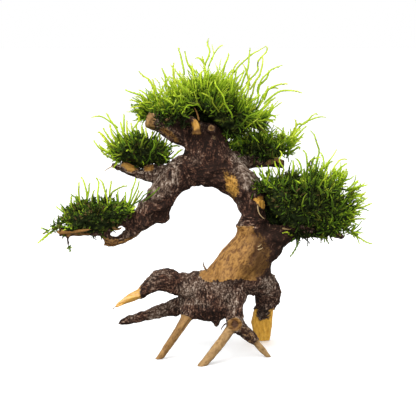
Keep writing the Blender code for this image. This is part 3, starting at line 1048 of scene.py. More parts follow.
    def parted(self, looks: dict[str, Array]) -> list[bpy.types.Object]:
        """Parts the skin into a piece for each limb.

        Args:
            looks: what is kept on each point.

        Returns:
            The pieces.
        """
        skin = self.skin
        material = WoodFinish().material()
        normals = skin.normals()
        votes = np.stack([self.on(name)[skin.quads].sum(1) for name in self.nodes], 1)
        owner = votes.argmax(1)
        pieces = []
        for number, name in enumerate(self.nodes):
            quads = skin.quads[owner == number]
            used, corners = np.unique(quads, return_inverse=True)
            parts = [(skin.points[used], corners.reshape(-1, 4), normals[used])]
            parts[0] += tuple(item[used] for item in looks.values())
            own = [sliver for sliver in self.slivers if sliver.node == name]
            parts += [self.rooted(sliver, tuple(looks)) for sliver in own]
            points, sides, outward, *kept = joined(parts)
            piece = mesh_object(name + "_wood", points, sides, dict(zip(looks, kept)))
            piece.data.polygons.foreach_set("use_smooth", np.ones(len(sides), bool))
            piece.data.normals_split_custom_set_from_vertices(outward.tolist())
            piece.data.materials.append(material)
            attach(piece, BODY)
            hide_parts(name)
            LOG.info("%s: %d faces", piece.name, len(quads))
            pieces.append(piece)
        return pieces

    def rooted(self, sliver: Sliver, keys: tuple[str, ...]) -> tuple[Array, ...]:
        """A sliver rooted at the wood's near side.

        Args:
            sliver: the sliver.
            keys: what is kept on each point.

        Returns:
            Its points, quads and outward directions, and what is kept on its points.
        """
        apart = np.linalg.norm(VIEW.pixel(self.skin.points) - sliver.root, axis=1)
        near = apart < max(2.0, apart.min() + 1)
        points, quads, outward = sliver.mesh(self.skin.points[near, 1].min() + 0.6 * sliver.radius)
        own = {"peel": sliver.peel, "warm": sliver.warm, "dark": sliver.dark, "grey": 0.7}
        return (points, quads, outward, *(np.full(len(points), own.get(key, 0.1)) for key in keys))


@dataclass(frozen=True)
class Wisp:
    """A strand that shows by itself: its root, middle and tip as pixels, its brightness, size and depth."""

    root: Pixel
    middle: Pixel
    tip: Pixel
    shade: float = 0.9
    leaf: float = 1.0
    depth: float | None = None


@dataclass
class Strands:
    """Many leafy strands: the root, bend and tip of each one's curve, its shades, tone and leaf length.

    Spacing, stem, leaf width, belly and cup are shares of a leaf's length. Pairs are the least and the most
    of what varies from leaf to leaf, and the shades and tones are those of a stem's and a leaf's corners.
    """

    root: Array
    bend: Array
    tip: Array
    low: Array
    high: Array
    tone: Array
    leaf: Array
    rings: int
    rng: np.random.Generator
    spacing: float = 0.5
    stem: float = 0.40
    taper: float = 0.6
    leaf_width: float = 0.38
    belly: float = 0.42
    cup: float = 0.05
    spread: float = math.radians(24)
    sway: float = 0.02
    wave: float = 11.0
    waviness: Pair = (0.4, 2.5)
    nudge: float = 0.02
    places: Pair = (0.2, 0.8)
    twist: float = 0.35
    spreads: Pair = (0.6, 1.4)
    sizes: Pair = (0.8, 1.2)
    speckle: float = 0.03
    stem_shades: tuple[float, ...] = (-0.02, -0.01, 0.0)
    stem_tones: tuple[float, ...] = (0.0, 0.02, -0.02)
    leaf_shades: tuple[float, ...] = (-0.06, 0.0, 0.07, 0.02)
    leaf_tones: tuple[float, ...] = (0.0, 0.03, 0.0, -0.03)

    def __post_init__(self) -> None:
        """Draws how each strand sways."""
        bend = np.linalg.norm(self.bend - self.root, axis=1)
        self.length = bend + np.linalg.norm(self.tip - self.bend, axis=1)
        self.swing = self.rng.normal(size=self.root.shape) * self.sway * self.length[:, None]
        self.phase = self.rng.uniform(0, WHOLE_TURN, len(self.root))
        self.side = self.rng.normal(size=self.root.shape)

    def place(self, which: Array, t: Array) -> Array:
        """Where strands are at a share of their length.

        Args:
            which: the strands' numbers.
            t: the share for each.

        Returns:
            A point for each.
        """
        part = t[:, None]
        a, b, c = self.root[which], self.bend[which], self.tip[which]
        curve = (1 - part) ** 2 * a + 2 * part * (1 - part) * b + part**2 * c
        turns = np.clip(self.length[which] / self.wave, *self.waviness)
        turn = self.phase[which] + t * WHOLE_TURN * turns
        return curve + self.swing[which] * (np.sin(turn) - np.sin(self.phase[which]))[:, None]

    def axes(self, which: Array, t: Array) -> tuple[Array, Array, Array]:
        """The way strands run at a share of their length.

        Args:
            which: the strands' numbers.
            t: the share for each.

        Returns:
            The direction of each, and two directions square to it.
        """
        way = unit(self.place(which, t + self.nudge) - self.place(which, t - self.nudge))
        side = self.side[which]
        side = unit(side - way * (way * side).sum(1, keepdims=True))
        return way, side, np.cross(way, side)

    def shade(self, which: Array, t: Array) -> Array:
        """How far a strand is from its dark root to its pale tip; the dark root is partly painted shade."""
        return self.low[which] + (self.high[which] - self.low[which]) * t

    def mesh(self) -> Part:
        """All the strands: their points and triangles, and each point's shade and tone."""
        return tuple(joined([self.stems(), self.leaves()]))

    def stems(self) -> Part:
        """Three-sided stems that taper to their tips.

        Returns:
            Their points and triangles, and each point's shade and tone.
        """
        count, rings = len(self.root), self.rings + 1
        which = np.repeat(np.arange(count), rings)
        t = np.tile(np.linspace(0, 1, rings), count)
        place = self.place(which, t)
        _, first, second = self.axes(which, t)
        radius = (self.stem * self.leaf[which] * (1 - self.taper * t**4))[:, None]
        turns = np.arange(3) * WHOLE_TURN / 3
        ring = [place + radius * (math.cos(turn) * first + math.sin(turn) * second) for turn in turns]
        points = np.stack(ring, 1).reshape(-1, 3)
        start = (np.arange(count)[:, None] * rings + np.arange(self.rings)).ravel() * 3
        triangles = []
        for k in range(3):
            a, b = start + k, start + (k + 1) % 3
            triangles += [np.stack([a, b, b + 3], 1), np.stack([a, b + 3, a + 3], 1)]
        shade = np.repeat(self.shade(which, t), 3) + np.tile(self.stem_shades, len(which))
        tone = np.repeat(self.tone[which], 3) + np.tile(self.stem_tones, len(which))
        return points, np.concatenate(triangles), shade, tone

    def leaves(self) -> Part:
        """Folded leaves in three ranks, each leaf of two triangles.

        Returns:
            Their points and triangles, and each point's shade and tone.
        """
        rng = self.rng
        number = np.maximum(self.length / (self.spacing * self.leaf), 4).astype(int)
        which = np.repeat(np.arange(len(number)), number)
        turn = np.arange(len(which)) - np.repeat(np.cumsum(number) - number, number)
        t = np.clip((turn + rng.uniform(*self.places, len(which))) / number[which], 0, 1)
        place = self.place(which, t)
        way, first, second = self.axes(which, t)
        round_stem = (turn * WHOLE_TURN / 3 + rng.normal(0, self.twist, len(which)))[:, None]
        radial = np.cos(round_stem) * first + np.sin(round_stem) * second
        angle = (self.spread * rng.uniform(*self.spreads, len(which)))[:, None]
        out = np.cos(angle) * way + np.sin(angle) * radial
        size = self.leaf[which] * rng.uniform(*self.sizes, len(which))
        at_tip = np.clip((1.06 - t) / 0.16, 0.5, 1)
        at_root = np.clip(0.6 + t / 0.2, 0.6, 1)
        size = (size * (at_tip * at_root))[:, None]
        wide = np.cross(way, radial) * self.leaf_width * size
        belly = place + out * size * self.belly - radial * size * self.cup
        points = np.stack([place, belly + wide, place + out * size, belly - wide], 1).reshape(-1, 3)
        base = np.arange(len(which))[:, None] * 4
        triangles = np.concatenate([base + [0, 1, 2], base + [0, 2, 3]])
        own = self.shade(which, t) + rng.normal(0, self.speckle, len(which))
        shade = (own[:, None] + np.array(self.leaf_shades)).ravel()
        tone = (self.tone[which][:, None] + np.array(self.leaf_tones)).ravel()
        return points, triangles, shade, tone

    def picked(self, keep: Array) -> Strands:
        """Only some of the strands."""
        names = ("root", "bend", "tip", "low", "high", "tone", "leaf")
        return Strands(*(getattr(self, name)[keep] for name in names), rings=self.rings, rng=self.rng)


def wisps(*rows: tuple[float, ...]) -> tuple[Wisp, ...]:
    """Wisps from rows of numbers: the pixels at root, middle and tip, then shade, leaf and depth."""
    return tuple(Wisp(row[:2], row[2:4], row[4:6], *row[6:]) for row in rows)


@dataclass(frozen=True)
class Clearing:
    """Where moss keeps clear of wood: an outline in the photograph, and how far back moss starts there."""

    corners: Outline
    back: float
    edge: Pair = (-1.5, 2.0)

    def covers(self, points: Array) -> Array:
        """Which points are in the way."""
        return (outline_depth(VIEW.pixel(points), self.corners) > 0) & (points[:, 1] < self.back)

    def cleared(self, points: Array) -> Array:
        """Moves the points that are in the way back.

        Args:
            points: rows of X, Y and Z in millimetres.

        Returns:
            The new points.
        """
        inside = blend_in(outline_depth(VIEW.pixel(points), self.corners), *self.edge)
        back = inside * np.maximum(self.back - points[:, 1], 0)
        return points + back[:, None] * np.array([0, 1, 0])


@dataclass(frozen=True)
class Tuft:
    """A bunch of strands: the pixel at their roots, its depth in millimetres and their spread in pixels.

    It also holds how many strands there are, the way they grow, their length in millimetres, their brightness
    and how much wider than high they spread. Then come how far their roots, ways, shades and tones differ,
    and the least and the most of their lengths and leaves.
    """

    at: Pixel
    depth: float
    radius: float
    count: int
    way: Point
    length: float
    shade: float
    stretch: float = 1.0
    scatter: float = 0.6
    stray: float = 0.45
    shade_spread: float = 0.12
    tone_spread: float = 0.16
    lengths: Pair = (0.6, 1.3)
    leaves: Pair = (0.75, 1.05)

    def strands(self, rng: np.random.Generator) -> Strands:
        """Draws the strands.

        Args:
            rng: where random numbers come from.

        Returns:
            The strands.
        """
        spot = VIEW.place(*self.at, self.depth)
        pixel = VIEW.distance / VIEW.focal_pixels
        spread = np.array([self.radius * self.stretch, self.radius, self.radius]) * pixel
        root = spot + rng.normal(size=(self.count, 3)) * spread * self.scatter
        way = unit(np.array(self.way) + self.stray * rng.normal(size=root.shape))
        length = (self.length * rng.uniform(*self.lengths, self.count))[:, None]
        bend = root + way * length * 0.5
        tip = bend + unit(way + 0.5 * rng.normal(size=root.shape)) * length * 0.5
        shade = np.clip(self.shade + self.shade_spread * rng.normal(size=self.count), 0.05, 0.95)
        return Strands(
            root, bend, tip,
            low=shade * 0.5,
            high=shade,
            tone=np.clip(0.5 + self.tone_spread * rng.normal(size=self.count), 0.02, 0.98),
            leaf=rng.uniform(*self.leaves, self.count),
            rings=4,
            rng=rng,
        )


def tufts(*rows: tuple[float, ...]) -> tuple[Tuft, ...]:
    """Tufts from rows of numbers: pixel, depth, radius, count, way, length, shade and stretch."""
    return tuple(Tuft(row[:2], *row[2:5], row[5:8], *row[8:]) for row in rows)


@dataclass
class MossCushion:
    """A cushion of moss.

    It has a coat of short strands all over, shoots on top, and a few long ones. Moss is dark at the cushion's
    heart and bright at its rim, which is partly older and younger leaves and partly painted shade and painted
    light; its brightness rises by a power to the rim, both given as pixels. The mat fills the dense
    outline. Wisps and tufts are placed one by one, and clearings keep moss off the wood. A wisp with a depth
    of its own stands back from it by the bow at its root, middle and tip. Spreads say how far one strand's
    shade or tone differs from the next. A few are odd and much brighter, and old ones have a brown tone.
    """

    node: str
    coat: int
    shoots: int
    long: int
    coat_length: float
    shoot_length: float
    long_length: float
    seed: int
    foot: float
    top: float
    power: float
    heart: Pixel
    rim: Pixel
    dense: Outline
    wisps: tuple[Wisp, ...]
    tufts: tuple[Tuft, ...]
    clearings: tuple[Clearing, ...] = ()
    bow: tuple[float, ...] = (5.5, 0.8, 2.5)
    voxel: float = 0.9
    shrinking: int = 12
    lumps: float = 1.6
    inset: float = 0.4
    crumb: float = 2.2
    clump: float = 5.0
    thick: float = 1.0
    wild: float = 0.0
    old: float = 0.0
    shift: float = 0.0
    ray_length: int = 90
    ray_steps: int = 4
    fan_depth: float = 0.7
    glow_limit: float = 1.1
    grains: Pair = (-1.5, 2.5)
    crumb_height: float = 0.9
    grain_height: float = 0.25
    tone_size: float = 4.0
    coat_lean: float = 4.0
    coat_spread: float = 0.35
    coat_limit: float = 2.0
    coat_up: Pair = (-0.8, 0.0)
    shoot_lean: float = 7.0
    shoot_spread: float = 0.25
    shoot_range: Pair = (0.5, 1.6)
    root_depth: float = 0.4
    shade_spread: float = 0.13
    clump_spread: float = 0.13
    tone_spread: float = 0.15
    odd: float = 0.06
    odd_shade: float = 0.22
    old_tone: float = 0.03
    leaves: Pair = (0.7, 1.0)
    wisp_leaf: float = 1.25
    wisp_tones: Pair = (0.4, 0.8)

    def build(self, material: bpy.types.Material) -> bpy.types.Object:
        """Makes the cushion.

        Args:
            material: the moss.

        Returns:
            The finished piece.
        """
        self.rng = np.random.default_rng(self.seed)
        self.mat = self.shaped_mat()
        parts = [self.mat_mesh(), self.coat_strands().mesh()]
        parts.append(self.shoot_strands(self.shoots, self.shoot_length, 5).mesh())
        parts.append(self.shoot_strands(self.long, self.long_length, 9).mesh())
        parts += [tuft.strands(self.rng).mesh() for tuft in self.tufts]
        parts.append(self.drawn().mesh())
        points, triangles, shade, tone = joined(parts)
        values = {"shade": np.clip(shade, 0.01, 0.99), "tone": np.clip(tone, 0.01, 0.99)}
        piece = mesh_object(self.node + "_strands", points, triangles, values)
        self.lay_map(piece.data, values)
        piece.data.materials.append(material)
        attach(piece, BODY)
        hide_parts(self.node)
        LOG.info("%s: %d triangles", piece.name, len(piece.data.polygons))
        return piece

    @staticmethod
    def lay_map(mesh: bpy.types.Mesh, values: dict[str, Array]) -> None:
        """Gives a mesh a map named OFBake, with shade across it and tone up it.

        Args:
            mesh: the mesh.
            values: the shade and tone of its points.
        """
        corners = rows_of(mesh.loops, "vertex_index", 1, np.int32).ravel()
        layer = mesh.uv_layers.new(name="OFBake")
        spots = np.stack([values["shade"][corners], values["tone"][corners]], 1)
        layer.uv.foreach_set("vector", spots.astype(np.float32).ravel())

    def shaped_mat(self) -> Skin:
        """Shapes the dark body that the strands grow from: the node's own form without its tufts.

        Returns:
            The mat.
        """
        points, triangles = arrays_of(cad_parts[self.node].data)
        mat = Skin(*remeshed(points, triangles, self.voxel))
        mat.smooth(self.shrinking, shrinks=True)
        rough = mat.points
        mat.smooth(self.shrinking * 4, shrinks=True)
        proud = rough - mat.points
        reach = np.linalg.norm(proud, axis=1, keepdims=True)
        mat.points = mat.points + proud * np.minimum(1, self.lumps / np.maximum(reach, 1e-6))
        mat.points = self.fitted(mat.points + np.array([0, self.shift, 0]))
        for clearing in self.clearings:
            mat.points = clearing.cleared(mat.points)
        mat.smooth(3, shrinks=True)
        mat.push(-self.inset)
        mat.smooth(2, shrinks=True)
        return mat

    def fitted(self, points: Array, turns: int = 72) -> Array:
        """Draws the mat in or out, so that it fills the dense outline in the photograph's view.

        The outline is looked for along rays from its middle, so many pixels long, with so many steps a pixel.

        Args:
            points: the mat's points.
            turns: in how many directions from the outline's middle the two are compared.

        Returns:
            The new points.
        """
        corners = np.array(self.dense, float)
        middle = corners.mean(0)
        away = VIEW.pixel(points) - middle
        reach = np.linalg.norm(away, axis=1)
        turn = (np.arctan2(away[:, 1], away[:, 0]) / WHOLE_TURN % 1) * turns
        widest = np.zeros(turns)
        np.maximum.at(widest, turn.astype(int) % turns, reach)
        wanted = np.zeros(turns)
        for number in range(turns):
            angle = (number + 0.5) / turns * WHOLE_TURN
            ray = np.linspace(0, self.ray_length, self.ray_length * self.ray_steps + 1)[:, None]
            ray = middle + ray * np.array([math.cos(angle), math.sin(angle)])
            wanted[number] = np.count_nonzero(outline_depth(ray, self.dense) > 0) / self.ray_steps
        share = wanted / np.maximum(widest, 1)
        share = (np.roll(share, 1) + 2 * share + np.roll(share, -1)) / 4
        share = np.concatenate([share[-1:], share, share[:1]])
        stretch = np.interp(turn, np.arange(-1, turns + 1) + 0.5, share)
        column, row = (middle + away * stretch[:, None]).T
        return VIEW.place(column, row, points[:, 1]).T

    def mat_mesh(self) -> Part:
        """The crumbly mat as triangles.

        Returns:
            Its points and triangles, and each point's shade and tone.
        """
        mat = self.mat
        crumbs = waves(mat.points, self.crumb, self.seed, 3)
        own = np.clip(self.rng.normal(size=len(mat.points)), *self.grains)
        height = self.crumb_height * crumbs + self.grain_height * own
        points = mat.points + mat.normals() * height[:, None]
        quads = mat.quads
        triangles = np.concatenate([quads[:, [0, 1, 2]], quads[:, [0, 2, 3]]])
        # The mat's dark shade is partly its older leaves and partly painted shade inside the cushion; towards
        # the rim it takes painted light.
        shade = 0.09 + 0.07 * crumbs + 0.11 * own + 0.35 * self.glow(points)**2
        tone = 0.45 + 0.2 * waves(points, self.tone_size, self.seed + 1, 2) + 0.1 * own
        return points, triangles, shade, tone

    def glow(self, points: Array) -> Array:
        """How bright moss is painted: dark at the cushion's heart and bright at its rim, partly older and
        younger leaves and partly painted shade and painted light.

        Args:
            points: where, as rows of X, Y and Z in millimetres.

        Returns:
            A shade for each point.
        """
        apart = (VIEW.pixel(points) - self.heart) / self.rim
        out = np.clip(np.linalg.norm(apart, axis=1), 0, self.glow_limit)
        return self.foot + (self.top - self.foot) * out**self.power

    def fan(self, root: Array) -> Array:
        """The way moss grows at its roots: up, and away from the cushion's heart."""
        heart = VIEW.place(*self.heart, self.middle_depth())
        return unit(unit((root - heart) * np.array([1, self.fan_depth, 1])) + np.array([0, 0, 1.0]))

    def middle_depth(self) -> float:
        """The depth of the cushion's middle."""
        low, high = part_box(self.node)
        return (low[1] + high[1]) / 2 / MM

    def rooted(self, count: int, weigh: Callable[[Array], Array]) -> tuple[Array, Array]:
        """Draws where strands are rooted.

        Args:
            count: how many strands.
            weigh: gives how likely each place is from the way it faces.

        Returns:
            The roots and the way that the mat faces there.
        """
        quads = self.mat.quads
        facing = unit(self.mat.normals()[quads].mean(1))
        weight = weigh(facing)
        pick = self.rng.choice(len(quads), count, p=weight / weight.sum())
        shares = self.rng.dirichlet(np.ones(4), count)[:, :, None]
        facing = facing[pick]
        return (self.mat.points[quads[pick]] * shares).sum(1) - self.root_depth * facing, facing

    def grown(self, root: Array, way: Array, turn: Array, length: Array, rings: int) -> Strands:
        """Strands from their roots.

        Args:
            root: where they are rooted.
            way: the way they set out.
            turn: the way they go on.
            length: their lengths.
            rings: how many stretches each stem has.

        Returns:
            The strands that are clear of the wood.
        """
        rng = self.rng
        bend = root + unit(way) * length[:, None] * 0.5
        tip = bend + unit(turn) * length[:, None] * 0.5
        own = self.shade_spread * rng.normal(size=len(root))
        own = own + self.odd_shade * (rng.uniform(size=len(root)) < self.odd)
        own += self.clump_spread * waves(root, self.clump, self.seed + 9, 2)
        tone = np.clip(0.5 + self.tone_spread * rng.normal(size=len(root)), 0.02, 0.98)
        # Each strand's shade runs from the painted light and shade at its root to that at its tip.
        strands = Strands(
            root, bend, tip,
            low=np.clip(0.75 * self.glow(root) + own, 0.05, 0.95),
            high=np.clip(self.glow(tip) + 0.06 + own, 0.08, 0.98),
            tone=np.where(rng.uniform(size=len(root)) < self.old, self.old_tone, tone),
            leaf=self.thick * rng.uniform(*self.leaves, len(root)),
            rings=rings,
            rng=rng,
        )
        keep = np.ones(len(root), bool)
        for clearing in self.clearings:
            for points in (root, bend, tip):
                keep &= ~clearing.covers(points)
        return strands.picked(keep)

    def coat_strands(self) -> Strands:
        """Draws the short strands that cover the mat.

        Returns:
            The strands.
        """
        rng = self.rng
        root, facing = self.rooted(self.coat, lambda way: 1.1 + 0.4 * way[:, 2] - 0.45 * way[:, 1])
        lean = np.stack([waves(root, self.coat_lean, self.seed + 3 + i, 2) for i in range(3)], 1)
        up = blend_in(facing[:, 2], *self.coat_up)[:, None]
        glow = self.glow(root)[:, None]
        wild = (0.75 + self.wild - 0.45 * glow) * rng.normal(size=root.shape)
        way = 0.6 * facing + (0.3 + 0.4 * glow) * up * self.fan(root) + 0.65 * lean + wild
        turn = unit(way) + 0.3 * up * self.fan(root) + 0.55 * rng.normal(size=root.shape)
        clump = waves(root, self.clump, self.seed + 2, 2)
        length = self.coat_length * (0.6 + 0.55 * glow[:, 0] + 0.2 * clump)
        length = length * rng.lognormal(0, self.coat_spread, len(root))
        length = np.minimum(length, self.coat_limit * self.coat_length)
        return self.grown(root, way, turn, length, 4)

    def shoot_strands(self, count: int, length: float, rings: int) -> Strands:
        """Longer shoots, on top and round the rim.

        Args:
            count: how many.
            length: how long they are, about.
            rings: how many stretches each stem has.

        Returns:
            The shoots.
        """
        rng = self.rng
        root, facing = self.rooted(count, lambda way: np.clip(0.2 + way[:, 2], 0.02, 1))
        lean = np.stack([waves(root, self.shoot_lean, self.seed + 6 + i) for i in range(3)], 1)
        fan = self.fan(root)
        way = fan + 0.15 * facing + 0.3 * lean + 0.16 * rng.normal(size=root.shape)
        turn = unit(way) + 0.35 * (fan + lean) * np.array([1, 1, 0]) + 0.25 * rng.normal(size=root.shape)
        lengths = length * np.clip(rng.lognormal(0, self.shoot_spread, len(root)), *self.shoot_range)
        return self.grown(root, way, turn, lengths, rings)

    def drawn(self) -> Strands:
        """Draws the wisps, at the depth that the cushion gives them or bowed at their own.

        Returns:
            The wisps as strands.
        """
        rng = self.rng
        own = np.array([math.nan if wisp.depth is None else wisp.depth for wisp in self.wisps])
        free = np.isnan(own)
        depth = np.where(free, self.middle_depth() + rng.uniform(-3, 3, len(own)), own)
        spots = np.array([(*wisp.root, *wisp.middle, *wisp.tip) for wisp in self.wisps]).T
        backs = [depth + back * ~free for back in self.bow]
        root, half, tip = (VIEW.place(*spots[2 * i:2 * i + 2], back).T for i, back in enumerate(backs))
        shade = np.array([wisp.shade for wisp in self.wisps])
        return Strands(
            root, 2 * half - (root + tip) / 2, tip,
            low=shade * 0.7,
            high=shade,
            tone=rng.uniform(*self.wisp_tones, len(self.wisps)),
            leaf=self.wisp_leaf * np.array([wisp.leaf for wisp in self.wisps]),
            rings=12,
            rng=rng,
        )


@dataclass
class Studio:
    """The pale floor, the soft lights and the camera.

    The world's strength goes from below to above between the two heights of the horizon.
    """

    floor_radius: float = 9.0
    floor_colour: Colour = (0.92, 0.92, 0.92)
    floor_glow: float = 0.2
    floor_roughness: float = 0.8
    horizon: Pair = (-0.1, -0.02)
    above: float = 1.0
    below: float = 0.22

    def build(self) -> None:
        """Sets everything up."""
        self.floor()
        self.world()
        self.light("key", (-0.5, -0.75, 0.95), 1.0, 15.0)
        self.light("fill", (0.35, -1.3, 0.12), 0.9, 11.0)
        self.camera()

    def floor(self) -> None:
        """A wide round floor at the height that the tree stands on, which throws no light back at it."""
        work = bmesh.new()
        bmesh.ops.create_circle(work, cap_ends=True, segments=96, radius=self.floor_radius)
        mesh = bpy.data.meshes.new("floor")
        work.to_mesh(mesh)
        work.free()
        graph = Graph(bpy.data.materials.new("floor"))
        graph.surface(self.floor_colour, self.floor_roughness)
        graph.feed(graph.shader.inputs["Emission Color"], (1.0, 1.0, 1.0))
        graph.shader.inputs["Emission Strength"].default_value = self.floor_glow
        mesh.materials.append(graph.material)
        floor = bpy.data.objects.new("floor", mesh)
        floor.visible_diffuse = False
        floor.visible_glossy = False
        bpy.context.scene.collection.objects.link(floor)

    def world(self) -> None:
        """A pale light from above, and little from below."""
        world = bpy.data.worlds.new("studio")
        graph = Graph(world, "Background")
        place = graph.node("ShaderNodeTexCoord").outputs["Generated"]
        height = graph.node("ShaderNodeSeparateXYZ", {}, {0: place}).outputs["Z"]
        ends = dict(enumerate((height, *self.horizon, self.below, self.above)))
        graph.feed(graph.shader.inputs["Strength"], graph.value("ShaderNodeMapRange", {}, ends))
        graph.feed(graph.shader.inputs["Color"], (1.0, 1.0, 1.0))
        bpy.context.scene.world = world

    def light(self, name: str, place: Point, size: float, power: float) -> None:
        """A square soft light that faces the tree.

        Args:
            name: the light's name.
            place: where it hangs, in metres.
            size: its side in metres.
            power: its power in watts.
        """
        data = bpy.data.lights.new(name, "AREA")
        data.size = size
        data.energy = power
        light = bpy.data.objects.new(name, data)
        light.location = place
        target = Vector(VIEW.aim) * MM
        light.rotation_euler = (target - Vector(place)).to_track_quat("-Z", "Y").to_euler()
        bpy.context.scene.collection.objects.link(light)

    def camera(self) -> None:
        """The camera at the photograph's place."""
        data = bpy.data.cameras.new("camera")
        data.lens = VIEW.lens
        data.sensor_width = VIEW.sensor
        data.clip_start = 0.01
        camera = bpy.data.objects.new("camera", data)
        out = Vector((0, -math.cos(VIEW.elevation), math.sin(VIEW.elevation)))
        camera.location = (Vector(VIEW.aim) + out * VIEW.distance) * MM
        camera.rotation_euler = (-out).to_track_quat("-Z", "Y").to_euler()
        scene = bpy.context.scene
        scene.collection.objects.link(camera)
        scene.camera = camera
        scene.view_settings.view_transform = "Standard"


USUAL_LOOKS = {"peel": 0.0, "warm": 0.0, "dark": 0.0, "wet": 0.0, "grey": 0.5, "furrow": 0.4, "rough": 1.0}

